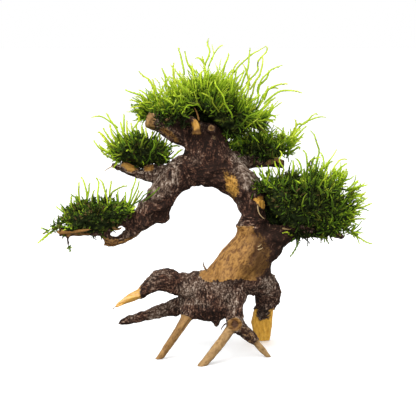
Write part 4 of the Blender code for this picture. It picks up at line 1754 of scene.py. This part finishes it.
PATCHES = (
    patch(
        140, 120, 300, 120, 300, 240, 235, 240, 160, 240, 90, 250, 90, 200,
        nodes="upper_trunk left_limb right_upper_branch crown_limb", rough=0.2, fade=4, round_limb=True,
    ),
    patch(150, 270, 284, 270, 284, 330, 150, 330, grey=0.74, furrow=0.22, fade=6, round_limb=True),
    patch(180, 306, 226, 308, 226, 330, 180, 330, grey=0.35, fade=4),
    patch(248, 262, 286, 262, 286, 312, 248, 312, nodes="right_root", grey=0.55, fade=4),
    patch(130, 262, 176, 262, 182, 278, 176, 302, 130, 302, grey=0.48, fade=5, round_limb=True),
    patch(
        126, 222, 150, 206, 168, 193, 180, 180, 186, 160, 176, 150, 120, 190,
        grey=0.86, furrow=0.55, fade=5,
    ),
    patch(226, 148, 236, 152, 262, 176, 258, 196, 242, 196, 240, 172, dark=0, grey=0.92, furrow=0.7, fade=4),
    patch(184, 132, 226, 132, 240, 200, 180, 196, dark=0.14, grey=0.24, furrow=0.35, fade=6),
    patch(184, 144, 204, 142, 208, 158, 200, 174, 184, 170, nodes="upper_trunk", grey=0.42, fade=4),
    patch(206, 164, 224, 160, 222, 188, 204, 188, nodes="upper_trunk", dark=0.4, grey=0.14, fade=4),
    patch(236, 200, 244, 200, 246, 226, 236, 228, nodes="upper_trunk", grey=0.75, fade=3),
    # Dark reddish-brown bark right of the lower trunk, darkened further as painted shade on the side turned
    # from the light.
    patch(
        256, 224, 300, 222, 300, 245, 276, 270, 262, 280, 262, 256,
        nodes="lower_trunk root_burl right_branch", grey=0.12, rough=0.3, dark=0.42, fade=2,
    ),
    patch(
        198, 277, 203, 262, 214, 246, 228, 230, 236, 227, 246, 226, 253, 227, 255, 232, 260, 239, 265, 243,
        267, 250, 262, 253, 260, 262, 257, 270, 258, 279, 240, 280, 224, 279.5, 210, 281.5,
        nodes="lower_trunk root_burl upper_trunk", peel=1, warm=0.5, round_limb=True, fade=1.6,
    ),
    patch(
        258, 254, 266, 252, 271, 264, 266, 274, 256, 279, 250, 276, 256, 266,
        nodes="lower_trunk root_burl", peel=0.6, warm=0.6, dark=0.76, fade=3.5,
    ),
    patch(
        256, 230, 266, 238, 272, 250, 267, 264, 260, 260, 260, 246,
        nodes="lower_trunk", peel=0.5, warm=0.55, fade=2.5,
    ),
    # Darker peeled wood on the lower trunk's right, partly its own colour and partly painted shade on the
    # side turned from the light.
    patch(
        250, 226, 268, 236, 272, 252, 262, 276, 246, 278, 248, 262, 252, 246,
        nodes="lower_trunk", dark=0.84, fade=6.5,
    ),
    patch(243, 254, 252, 246, 262, 250, 264, 264, 257, 278, 240, 277, nodes="lower_trunk", peel=0.66, fade=4),
    patch(
        252, 228, 262, 236, 270, 250, 268, 268, 256, 280, 250, 278, 262, 256,
        nodes="lower_trunk root_burl", warm=0.62, fade=3,
    ),
    patch(239, 240, 245, 239, 246, 245, 240, 246, nodes="lower_trunk", dark=0.4, fade=2.5),
    patch(240, 266, 254, 262, 255, 274, 243, 274, nodes="lower_trunk", dark=0.5, fade=3.5),
    patch(
        208, 284, 210, 280, 224, 277.5, 240, 277, 258, 274, 260, 282, 240, 283,
        nodes="lower_trunk root_burl", dark=0.55, warm=0.55, fade=1.5,
    ),
    patch(212, 137, 215, 136.5, 216, 139, 213, 140, nodes="upper_trunk", peel=0.6, warm=0, dark=0.55),
    patch(
        98, 233, 108, 237, 122, 239, 136, 234, 146, 228, 146, 236, 128, 247, 100, 248,
        nodes="left_low_branch left_limb", peel=0.55, warm=0.5, dark=0.3, fade=2.5,
    ),
    patch(
        221, 168, 228, 170, 236, 174, 239, 184, 238, 193, 235, 200, 230, 196, 226, 188, 222, 178,
        nodes="upper_trunk", peel=0.4, warm=0.65, dark=0.4, fade=4,
    ),
    patch(
        225, 177, 232, 176, 238, 183, 238, 192, 235, 200, 231, 196, 227, 188,
        nodes="upper_trunk", peel=0.6, warm=0.7, dark=0.24, fade=3,
    ),
    patch(192, 117, 204, 117, 203, 134, 192, 134, nodes="crown_limb", peel=1, warm=0.72, dark=0.2),
    patch(140, 111, 154, 111, 155, 129, 142, 129, nodes="crown_limb", peel=1, warm=0.38, fade=1),
    # Painted shade under the crown, on the crown limb and the top of the trunk.
    patch(155, 108, 190, 106, 192, 128, 184, 134, 164, 124, nodes="crown_limb", dark=0.85, fade=2.5),
    patch(200, 118, 228, 122, 230, 138, 198, 138, nodes="upper_trunk crown_limb", dark=0.65, fade=4),
    patch(
        240, 309, 257, 309, 258, 316, 261, 320, 266, 319, 269, 315, 270, 309, 282, 309, 282, 350, 240, 350,
        nodes="right_root", peel=1, warm=1, round_limb=True,
    ),
    patch(
        100, 284, 141, 284, 140, 292, 141, 310, 100, 316,
        nodes="left_root", peel=1, warm=0.8, dark=0.1, wet=0.8, round_limb=True,
    ),
    patch(104, 300, 116, 300, 116, 316, 104, 316, nodes="left_root", dark=0.7, round_limb=True),
    patch(
        140, 315, 200, 315, 200, 370, 140, 370,
        nodes="front_left_prong", peel=1, warm=0.4, dark=0.1, furrow=0.15, round_limb=True,
    ),
    patch(
        190, 322, 236, 322, 236, 375, 190, 375,
        nodes="front_twig", peel=1, warm=0.28, furrow=0.05, round_limb=True,
    ),
    # Painted shade on the front twig's lower right side.
    patch(
        233, 333, 224, 344, 213, 358, 205, 369, 216, 369, 244, 334,
        nodes="front_twig", dark=0.36, fade=2.5,
    ),
    patch(
        247, 342, 256, 341, 290, 338, 290, 370, 248, 370,
        nodes="right_twig", peel=1, warm=0.25, furrow=0.1, round_limb=True,
    ),
    patch(
        158, 125, 168, 129, 184, 141, 178, 143, 160, 133,
        nodes="crown_limb", peel=0.6, warm=0.5, dark=0.35, fade=2.5,
    ),
    patch(142, 164, 157, 164, 157, 170, 142, 170, nodes="left_middle_branch", peel=1, warm=0.55),
    patch(121, 160, 133, 162, 138, 170, 131, 171, 121, 166, nodes="left_middle_branch", peel=1, warm=0.65),
    patch(64, 226, 92, 224, 90, 236, 64, 237, nodes="left_low_branch", peel=0.6, warm=0.5, dark=0.2, fade=2),
    patch(
        266, 152, 288, 150, 287, 162, 268, 165,
        nodes="right_upper_branch", peel=0.8, warm=0.5, dark=0.1, fade=2.5,
    ),
    patch(
        268, 223, 297, 225, 297, 231, 268, 229,
        nodes="right_branch lower_trunk", peel=0.28, warm=0.3, dark=0.25, fade=2.5,
    ),
    # Painted shade on the left limb's hollow underside, over its darker bark.
    patch(148, 204, 172, 198, 176, 214, 170, 226, 150, 224, nodes="left_limb", dark=0.3, grey=0.22, fade=4),
    patch(
        201, 275, 230, 275, 256, 274, 262, 272, 262, 280, 240, 280, 205, 281,
        nodes="root_burl", dark=0.1, grey=0.25, fade=2.5,
    ),
    patch(
        240, 188, 262, 196, 266, 226, 243, 226,
        nodes="upper_trunk", dark=0.22, grey=0.34, furrow=0.6, fade=4,
    ),
    patch(
        237, 322, 246, 324, 256, 336, 257, 344, 247, 341, 238, 331,
        nodes="right_twig fork_leg", peel=0.35, warm=0.35, dark=0.25, fade=2.5,
    ),
    patch(
        240.5, 327, 245, 328, 246.5, 332, 243, 334, 240.5, 331,
        nodes="fork_leg right_twig", dark=0.95, fade=0.8,
    ),
    patch(
        255, 196, 262, 197, 267, 203, 268, 209, 263, 210, 259, 205, 256, 201,
        nodes="upper_trunk", peel=1, warm=0.75, dark=0.1, fade=0.8,
    ),
    # Painted shade left of the stub on the upper trunk.
    patch(250, 198, 255, 198, 260, 207, 262, 216, 256, 214, nodes="upper_trunk", dark=0.7, fade=1.5),
    patch(
        190, 128.5, 204, 128.5, 204, 138, 190, 138,
        nodes="crown_limb", warm=0.7, dark=0.86, fade=0.8, round_limb=True,
    ),
    patch(228, 328, 241, 328, 240, 335, 230, 335, nodes="fork_leg front_twig", dark=0.35, fade=2),
)

ENDS = (
    CutEnd((-26.3, -1.2, 112.0), (-0.94, 0, 0.32), 4.6, 0.38),
    CutEnd((-3.8, -16.0, 105.2), (0, 0, -1), 3.2, 0.6, dark=0.68),
    CutEnd((2.8, -11.6, 108.2), (0, -0.93, 0.37), 1.6, 0.35, ring=0.8, dark=0.2),
    CutEnd((46.8, -6.7, 56.6), (0.1, -0.1, -1), 2.8, 0.0, dark=0.95),
    CutEnd((13.7, -15.7, 17.7), (0, -1, -0.1), 3.4, 0.5, ring=1.0, dark=0.3),
)

SWELLS = (
    Swell((148, 119), -1.0, 5.0, 1.8),
    Swell((229, 240), -2.0, 6.0, 0.8),
    Swell((218, 252), -2.0, 6.5, -0.2),
    Swell((208, 265), -2.0, 6.0, 1.3),
    Swell((277, 260), -2.0, 3.5, -1.5),
    Swell((284, 247), -2.0, 4.0, 0.8),
    Swell((275, 275), 3.0, 7.0, -1.0),
    Swell((269, 268), -1.0, 3.5, 1.0),
    Swell((230, 331), -16.0, 5.0, 0.35),
    Swell((220, 344), -19.0, 8.0, 0.6),
    Swell((208, 358), -23.0, 7.0, 0.5),
    Swell((263, 349), -11.0, 7.0, 0.5),
)

SLIVERS = (
    Sliver("upper_trunk", (258, 204), (259, 213), (265, 219), 0.35, 1.0, 0.0),
    Sliver("lower_trunk", (207, 271), (204, 266), (203, 261), 0.5, 0.5, 0.3, 0.4),
    Sliver("lower_trunk", (257.5, 249.5), (260.5, 249), (263, 247), 0.32, 1.0, 0.0, lift=0.3),
    Sliver("lower_trunk", (257.5, 246.5), (259.5, 246), (261.5, 243.5), 0.3, 1.0, 0.0, lift=0.3),
    Sliver("left_middle_branch", (114, 166), (109, 168), (103, 172), 0.3, 0.7, 0.1),
    Sliver("crown_limb", (164, 117), (164, 110), (166, 104), 0.7, 0.8, 0.5, 0.2, 1.5),
    Sliver("crown_limb", (199, 121), (197, 113), (194, 107), 0.45, 0.8, 0.5, 0.3, 1.0),
    Sliver("crown_limb", (166, 121), (169, 118), (173, 120), 0.9, 1.0, 0.3, 0.0, 1.0),
    Sliver("left_low_branch", (76, 225), (82, 219), (89, 214), 0.8, 0.8, 0.4, 0.1, 4.5),
    Sliver("left_low_branch", (112, 226), (117, 229), (122, 227), 0.9, 0.8, 0.4, 0.1),
    Sliver("left_low_branch", (56, 232), (74, 230), (93, 226), 1.3, 0.9, 0.5, 0.1, 10.0),
    Sliver("right_upper_branch", (266, 162), (276, 158), (284, 150), 1.0, 0.85, 0.35, 0.0, 1.5),
    Sliver("right_branch", (282, 228), (287, 229), (293, 228.5), 0.5, 0.9, 0.2, lift=1.5),
    Sliver("fork_leg", (227, 323), (223, 326), (221, 330), 0.4, 0.2, 0.3, 0.5),
    Sliver("right_branch", (322, 233), (334, 233), (341, 236), 0.7, 0.6, 0.4, 0.3),
)

CROWN_WISPS = wisps(
    (232, 118, 224, 100, 214, 80, 0.8, 0.85, -27.5), (202, 110, 192, 105, 182, 113, 0.7, 0.7, -25),
    (205, 75, 209, 55, 210, 38, 0.95), (209, 66, 215, 52, 223, 45, 0.99, 0.7),
    (184, 75, 182, 60, 178, 48, 0.9), (194, 72, 188, 63, 185, 51, 0.85), (222, 80, 226, 65, 229, 53, 0.95),
    (205, 72, 204, 63, 203, 56, 0.85), (204, 64, 200, 59, 196, 58, 0.85), (240, 90, 248, 68, 250, 48, 0.9),
    (246, 84, 257, 64, 264, 47, 0.9), (228, 80, 243, 62, 265, 47, 0.9, 0.85),
    (250, 90, 260, 74, 262, 58, 0.9), (258, 94, 266, 77, 281, 65, 0.85), (258, 92, 263, 80, 270, 71, 0.85),
    (262, 98, 272, 87, 288, 84, 0.9), (264, 104, 281, 91, 302, 93, 0.9), (264, 100, 271, 89, 278, 89, 0.9),
    (166, 90, 165, 77, 162, 69, 0.85), (158, 100, 151, 83, 139, 70, 0.85), (158, 96, 154, 86, 152, 80, 0.85),
    (148, 104, 137, 95, 124, 90, 0.85), (146, 110, 140, 103, 130, 100, 0.85),
    (176, 82, 173, 72, 174, 64, 0.85), (260, 117, 269, 114, 276, 118, 0.75),
    (258, 121, 266, 119, 273, 123, 0.75), (196, 84, 194, 74, 188, 64, 0.9), (222, 78, 223, 70, 226, 62, 0.9),
    (236, 84, 232, 74, 240, 60, 0.9), (250, 86, 247, 74, 243, 64, 0.85), (160, 98, 163, 88, 170, 76, 0.85),
    (150, 104, 146, 96, 139, 90, 0.85), (236, 100, 240, 84, 244, 70, 0.85), (242, 104, 247, 88, 249, 74, 0.9),
    (231, 95, 233, 80, 238, 68, 0.9), (247, 108, 252, 92, 257, 79, 0.85), (252, 112, 257, 96, 258, 84, 0.85),
    (238, 102, 243, 90, 252, 78, 0.9), (254, 114, 263, 99, 268, 86, 0.85),
    (258, 116, 268, 104, 275, 98, 0.85), (226, 90, 228, 78, 232, 70, 0.9),
    (262, 122, 270, 112, 272, 104, 0.8), (162, 100, 156, 90, 148, 80, 0.85),
    (154, 106, 148, 100, 136, 96, 0.85), (152, 110, 142, 107, 130, 108, 0.8),
    (246, 112, 243, 98, 248, 83, 0.8, 0.9, -22), (228, 100, 232, 88, 231, 74, 0.8, 0.9, -20),
    (206, 96, 201, 84, 203, 70, 0.85, 0.9, -20), (186, 100, 183, 88, 176, 79, 0.8, 0.9, -20),
    (219, 112, 213, 100, 204, 93, 0.62, 0.8, -25), (240, 126, 250, 116, 262, 111, 0.6, 0.8, -20),
)

LEFT_MIDDLE_WISPS = wisps(
    (118, 128, 105, 118, 91, 116, 0.9, 0.8), (121, 137, 113, 124, 106, 113, 0.9),
    (124, 132, 124, 122, 124, 114, 0.9), (112, 152, 101, 148, 94, 141, 0.85),
    (109, 143, 103, 136, 99, 133, 0.85), (168, 150, 173, 146, 180, 147, 0.85),
    (172, 158, 178, 152, 182, 150, 0.85), (134, 128, 138, 121, 137, 115, 0.9),
    (148, 128, 151, 121, 150, 116, 0.9), (160, 132, 165, 126, 167, 121, 0.85),
    (118, 154, 108, 143, 101, 134, 0.9, 1.1), (119, 152, 110, 139, 103, 128, 0.92, 1.1),
    (121, 151, 114, 137, 109, 124, 0.92, 1.1), (124, 150, 119, 136, 115, 124, 0.95, 1.1),
    (128, 149, 124, 134, 120, 121, 0.95, 1.2), (130, 149, 128, 135, 126, 120, 0.95, 1.1),
    (134, 148, 133, 135, 131, 123, 0.95, 1.1), (138, 148, 138, 135, 136, 124, 0.95, 1),
    (142, 148, 142, 137, 141, 126, 0.95, 1.1), (146, 149, 147, 138, 146, 128, 0.9, 1),
    (151, 150, 152, 140, 153, 130, 0.9, 1), (156, 151, 159, 141, 160, 131, 0.85, 1),
    (162, 153, 165, 144, 168, 136, 0.85, 1), (115, 158, 106, 151, 100, 145, 0.85, 1.1),
    (116, 160, 107, 156, 101, 150, 0.8, 1.1), (146, 163, 152, 152, 154, 142, 0.5, 0.7, -14),
    (139, 162, 132, 152, 128, 143, 0.55, 0.7, -14), (150, 152, 155, 143, 156, 135, 0.85, 0.8),
    (126, 152, 118, 141, 112, 133, 0.85, 0.9), (133, 150, 129, 140, 128, 130, 0.9, 0.9),
    (122, 156, 113, 150, 106, 140, 0.85, 0.9),
)

LEFT_LOW_WISPS = wisps(
    (86, 210, 86, 190, 81, 179), (81, 208, 79, 192, 79, 183, 0.8), (87, 206, 87, 192, 90, 183, 0.8),
    (97, 210, 99, 192, 97, 177, 0.9), (107, 210, 105, 190, 99, 179, 0.85),
    (112, 208, 110, 192, 112, 181, 0.85), (110, 198, 117, 189, 127, 186, 0.7),
    (124, 212, 131, 194, 135, 178, 0.85), (128, 208, 135, 194, 140, 180, 0.8, 0.9),
    (132, 207, 137, 198, 143, 191, 0.7, 0.9), (131, 207, 136, 197, 139, 190, 0.7, 0.9),
    (119, 208, 118, 199, 118, 191, 0.75), (126, 208, 125, 200, 125, 192, 0.75),
    (74, 212, 71, 203, 72, 196, 0.7), (93, 208, 92, 198, 94, 190, 0.75),
    (128, 209, 140, 200, 152, 190, 0.45, 0.8, -11), (143, 202, 152, 195, 160, 187, 0.5, 0.8, -12.5),
    (60, 226, 49, 234, 38, 243, 0.92, 1.3),
)

LEFT_LOW_TUFTS = tufts(
    (59, 227, -4, 4, 30, -0.6, -0.3, 0.4, 3.5, 0.45), (64, 232, -5, 3, 16, -0.2, -0.4, -0.2, 2.5, 0.3, 1.6),
    (97, 232, -4, 3, 18, 0, -0.3, -1, 3.5, 0.35, 2.2), (112, 226, -5, 4, 20, 0.1, -0.5, -0.2, 3, 0.25, 1.6),
    (124, 216, -7, 4, 20, 0.2, -0.5, 0.3, 3.5, 0.35, 1.6), (69, 246, -7.8, 1.2, 7, 0.1, 0, -1, 2.2, 0.6),
)

LEFT_MIDDLE_TUFTS = tufts(
    (147, 164, 2, 3, 40, 0, -0.2, -0.5, 2.6, 0.14, 2.4), (136, 164, 2, 3, 24, 0, -0.2, -0.6, 2.6, 0.16, 1.6),
    (165, 159, 2, 3, 24, 0.3, -0.2, -0.4, 3, 0.3, 1.4),
)

RIGHT_UPPER_WISPS = wisps(
    (286, 142, 300, 124, 318, 115, 0.85), (288, 142, 305, 122, 326, 117, 0.9, 0.9),
    (284, 152, 297, 136, 306, 126, 0.9), (283, 136, 283, 131, 283, 127, 0.8),
    (294, 132, 296, 125, 295, 120, 0.9), (286, 150, 292, 138, 301, 128, 0.95, 1.2),
    (284, 148, 290, 136, 297, 129, 0.95, 1.2), (287, 156, 296, 148, 300, 149, 0.85),
    (286, 154, 295, 143, 304, 133, 0.9),
)

RIGHT_WISPS = wisps(
    (314, 176, 319, 149, 311, 131, 0.75, 1), (306, 174, 308, 160, 303, 150, 0.8),
    (301, 174, 300, 164, 296, 159, 0.8), (292, 176, 293, 167, 293, 160, 0.8),
    (320, 176, 323, 162, 321, 153, 0.85), (322, 178, 327, 166, 333, 161, 0.85),
    (329, 180, 337, 163, 348, 158, 0.9, 0.8), (332, 180, 340, 168, 347, 164, 0.9),
    (344, 196, 356, 189, 367, 185, 0.85), (350, 208, 359, 208, 372, 203, 0.85),
    (345, 222, 356, 219, 366, 219, 0.8), (344, 229, 358, 238, 372, 244, 0.8),
    (298, 232, 297, 245, 290, 257, 0.5), (280, 179, 280, 164, 277, 150, 0.9, 0.8, -10),
    (276, 180, 277, 170, 274, 162, 0.8, 0.8, -9), (321, 233, 325, 238, 329, 244, 0.45, 0.9),
    (294, 235, 290, 233, 284, 232, 0.7, 0.8, -14), (308, 168, 313, 160, 320, 157, 0.85),
    (336, 182, 344, 176, 346, 169, 0.9), (346, 190, 355, 184, 358, 183, 0.9),
    (347, 200, 358, 196, 366, 192, 0.9), (303, 212, 302, 204, 307, 194, 0.46, 0.65, -27),
    (331, 214, 333, 205, 330, 194, 0.46, 0.65, -25), (286, 208, 287, 200, 283, 194, 0.42, 0.65, -25),
    (318, 190, 322, 182, 328, 176, 0.65, 0.7, -24),
)

CROWN_CLEARING = outline(
    136, 150, 141, 113, 150, 109, 158, 112, 172, 110, 186, 112, 192, 108, 200, 107, 206, 116, 214, 124, 224,
    133, 230, 143, 226, 160,
)

CROWN_TUFTS = tufts(
    (240, 126, -6, 7, 40, 0.3, -0.4, -0.6, 5, 0.3, 1.6), (229, 132, -4, 3, 20, 0.1, -0.4, -0.8, 3.5, 0.25),
    (256, 124, -4, 5, 30, 0.8, -0.3, -0.2, 6, 0.45), (155, 112, -12, 3, 22, -0.1, -0.4, 0.8, 4, 0.62, 1.4),
    (165, 111, -14, 3, 26, 0.1, -0.5, 0.6, 3.6, 0.52, 1.6),
    (174, 112, -15, 3, 26, 0.2, -0.5, 0.5, 3.4, 0.45, 1.6),
    (184, 113, -14, 3, 22, 0.3, -0.4, 0.5, 3.5, 0.42, 1.6),
    # The next three tufts, at (162, 120), (176, 119) and (186, 122), are dark to paint the shade in the
    # hollow under the crown.
    (162, 120, -14, 4, 40, 0, -0.6, 0.2, 2.2, 0.26, 1.5),
    (176, 119, -15, 5, 44, 0, -0.6, -0.2, 2.2, 0.15, 1.6),
    (186, 122, -14, 4, 18, 0, -0.6, -0.2, 2, 0.12, 1.2), (150, 108, -2, 4, 30, -0.7, 0, 0.9, 7, 0.8),
    (147, 112, 5, 3, 34, -1, 0.1, 0.4, 7, 0.7), (147, 117, 5, 3, 26, -1, 0.1, -0.1, 5, 0.55),
    (158, 104, -4, 4, 26, -0.5, -0.2, 1, 7, 0.8),
)

RIGHT_UPPER_TUFTS = tufts(
    (287, 144, 10, 5, 34, 0.8, -0.2, 0.9, 7, 0.92, 0.8), (284, 153, 8, 4, 18, 0.6, -0.3, 0.4, 5, 0.6),
    (250, 153, -3, 5, 50, -0.1, -0.5, 0.3, 3, 0.2, 1.8), (266, 155, -3, 4, 40, 0.1, -0.5, 0.1, 3, 0.25, 1.8),
    (237, 143, -2, 3, 26, -0.4, -0.4, 0.6, 3.5, 0.6, 1.2), (232, 147, 0, 2.5, 30, -0.3, -0.4, 0.5, 2.5, 0.45),
)

LEFT_MIDDLE_CLEARING = outline(119, 162, 124, 161, 133, 163, 141, 166, 158, 164, 160, 174, 117, 174)

RIGHT_CLEARING = outline(
    230, 160, 262, 178, 262, 192, 267, 198, 269, 211, 276, 219, 291, 229, 297, 237, 270, 250, 230, 240,
)

RIGHT_TUFTS = tufts(
    (300, 232, -12, 4, 26, 0.2, -0.4, -0.7, 4, 0.12, 2), (322, 232, -8, 4, 20, 0.2, -0.4, -0.7, 3.5, 0.12, 2),
    (297, 237, -10, 1, 4, -0.3, -0.2, -1, 3.5, 0.45), (305, 205, -24, 6, 5, 0.3, -0.5, 0.7, 5, 0.45),
    (328, 205, -20, 5, 5, 0.1, -0.5, 0.8, 5, 0.45), (285, 200, -20, 5, 5, -0.2, -0.5, 0.7, 5, 0.4),
    (338, 180, -8, 5, 26, 0.5, -0.2, 1, 6, 0.92), (350, 192, -6, 5, 22, 0.9, -0.2, 0.4, 6, 0.9),
    (352, 208, -6, 5, 22, 1, -0.2, 0.2, 6, 0.85), (268, 178, -2, 4, 18, -0.1, -0.4, 0.9, 4.5, 0.7, 1.6),
    (256, 186, -9, 4, 30, -0.2, -0.5, 0.5, 2.5, 0.35), (262, 190, -7, 4, 30, -0.1, -0.5, 0.5, 3, 0.4),
)

CROWN_DENSE = outline(
    148, 114, 155, 109, 164, 102, 171, 94, 181, 87, 193, 87, 203, 82, 214, 85, 224, 88, 233, 98, 243, 106,
    254, 111, 265, 116, 266, 124, 259, 132, 246, 134, 232, 139, 220, 134, 205, 128, 190, 124, 172, 122, 156,
    118,
)

LEFT_MIDDLE_DENSE = outline(
    113, 158, 109, 151, 114, 145, 122, 142, 130, 141, 139, 140, 148, 142, 157, 146, 166, 152, 171, 158, 163,
    165, 145, 166, 128, 165, 118, 162,
)

LEFT_LOW_DENSE = outline(
    58, 228, 62, 216, 71, 209, 80, 202, 92, 205, 104, 201, 118, 205, 131, 204, 135, 211, 122, 221, 112, 230,
    96, 233, 80, 232, 64, 233,
)

RIGHT_UPPER_DENSE = outline(
    231, 149, 234, 144, 242, 140, 252, 138, 262, 137, 274, 140, 284, 143, 284, 151, 276, 157, 262, 160, 250,
    158, 239, 155,
)

RIGHT_DENSE = outline(
    259, 184, 268, 179, 280, 182, 292, 177, 304, 178, 316, 172, 326, 178, 336, 180, 346, 188, 355, 197, 355,
    209, 352, 222, 346, 233, 326, 237, 300, 236, 284, 232, 266, 230, 260, 214, 259, 200, 258, 190,
)

WOOD_FIBRES = {"lower_trunk": (0.6, 0.0, 0.8), "root_burl": (0.15, 0.0, 1.0)}


def main() -> None:
    """Builds the wood, the moss and the studio, and reports each piece."""
    logging.basicConfig(level=logging.INFO, format="%(name)s: %(message)s")
    wood_nodes = tuple(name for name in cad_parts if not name.startswith("moss"))
    Driftwood(wood_nodes, PATCHES, ENDS, SWELLS, SLIVERS, WOOD_FIBRES).build()
    moss = MossFinish().material()
    cushions = (
        MossCushion(
            "moss_crown", coat=2100, shoots=300, long=40,
            coat_length=5.2, shoot_length=8.0, long_length=13.0,
            seed=101, foot=0.12, top=1.0, power=1.5, heart=(212, 126), rim=(72, 58), dense=CROWN_DENSE,
            wisps=CROWN_WISPS, tufts=CROWN_TUFTS, clearings=(Clearing(CROWN_CLEARING, 4),),
        ),
        MossCushion(
            "moss_left_middle", coat=1000, shoots=110, long=10,
            coat_length=3.6, shoot_length=5.5, long_length=7.5,
            seed=202, foot=0.09, top=1.0, power=1.8, heart=(143, 154), rim=(44, 37), dense=LEFT_MIDDLE_DENSE,
            wisps=LEFT_MIDDLE_WISPS, tufts=LEFT_MIDDLE_TUFTS,
            clearings=(Clearing(LEFT_MIDDLE_CLEARING, 2),), thick=1.15, old=0.02,
        ),
        MossCushion(
            "moss_left_low", coat=1500, shoots=110, long=10,
            coat_length=2.1, shoot_length=3.6, long_length=6.0,
            seed=303, foot=0.08, top=0.72, power=2.2, heart=(97, 224), rim=(48, 40), dense=LEFT_LOW_DENSE,
            wisps=LEFT_LOW_WISPS, tufts=LEFT_LOW_TUFTS, thick=1.3, wild=0.5, old=0.10,
        ),
        MossCushion(
            "moss_right_upper", coat=800, shoots=90, long=10,
            coat_length=4.0, shoot_length=6.0, long_length=9.0,
            seed=404, foot=0.09, top=0.95, power=2.1, heart=(258, 154), rim=(48, 30), dense=RIGHT_UPPER_DENSE,
            wisps=RIGHT_UPPER_WISPS, tufts=RIGHT_UPPER_TUFTS, shift=-5.0, old=0.02,
        ),
        MossCushion(
            "moss_right", coat=2600, shoots=150, long=16,
            coat_length=4.2, shoot_length=6.0, long_length=8.5,
            seed=505, foot=0.09, top=0.90, power=2.6, heart=(294, 211), rim=(78, 57), dense=RIGHT_DENSE,
            wisps=RIGHT_WISPS, tufts=RIGHT_TUFTS, clearings=(Clearing(RIGHT_CLEARING, 3),),
            thick=1.1, wild=0.15, old=0.03,
        ),
    )
    for cushion in cushions:
        cushion.build(moss)
    Studio().build()


if __name__ == "__main__":
    main()
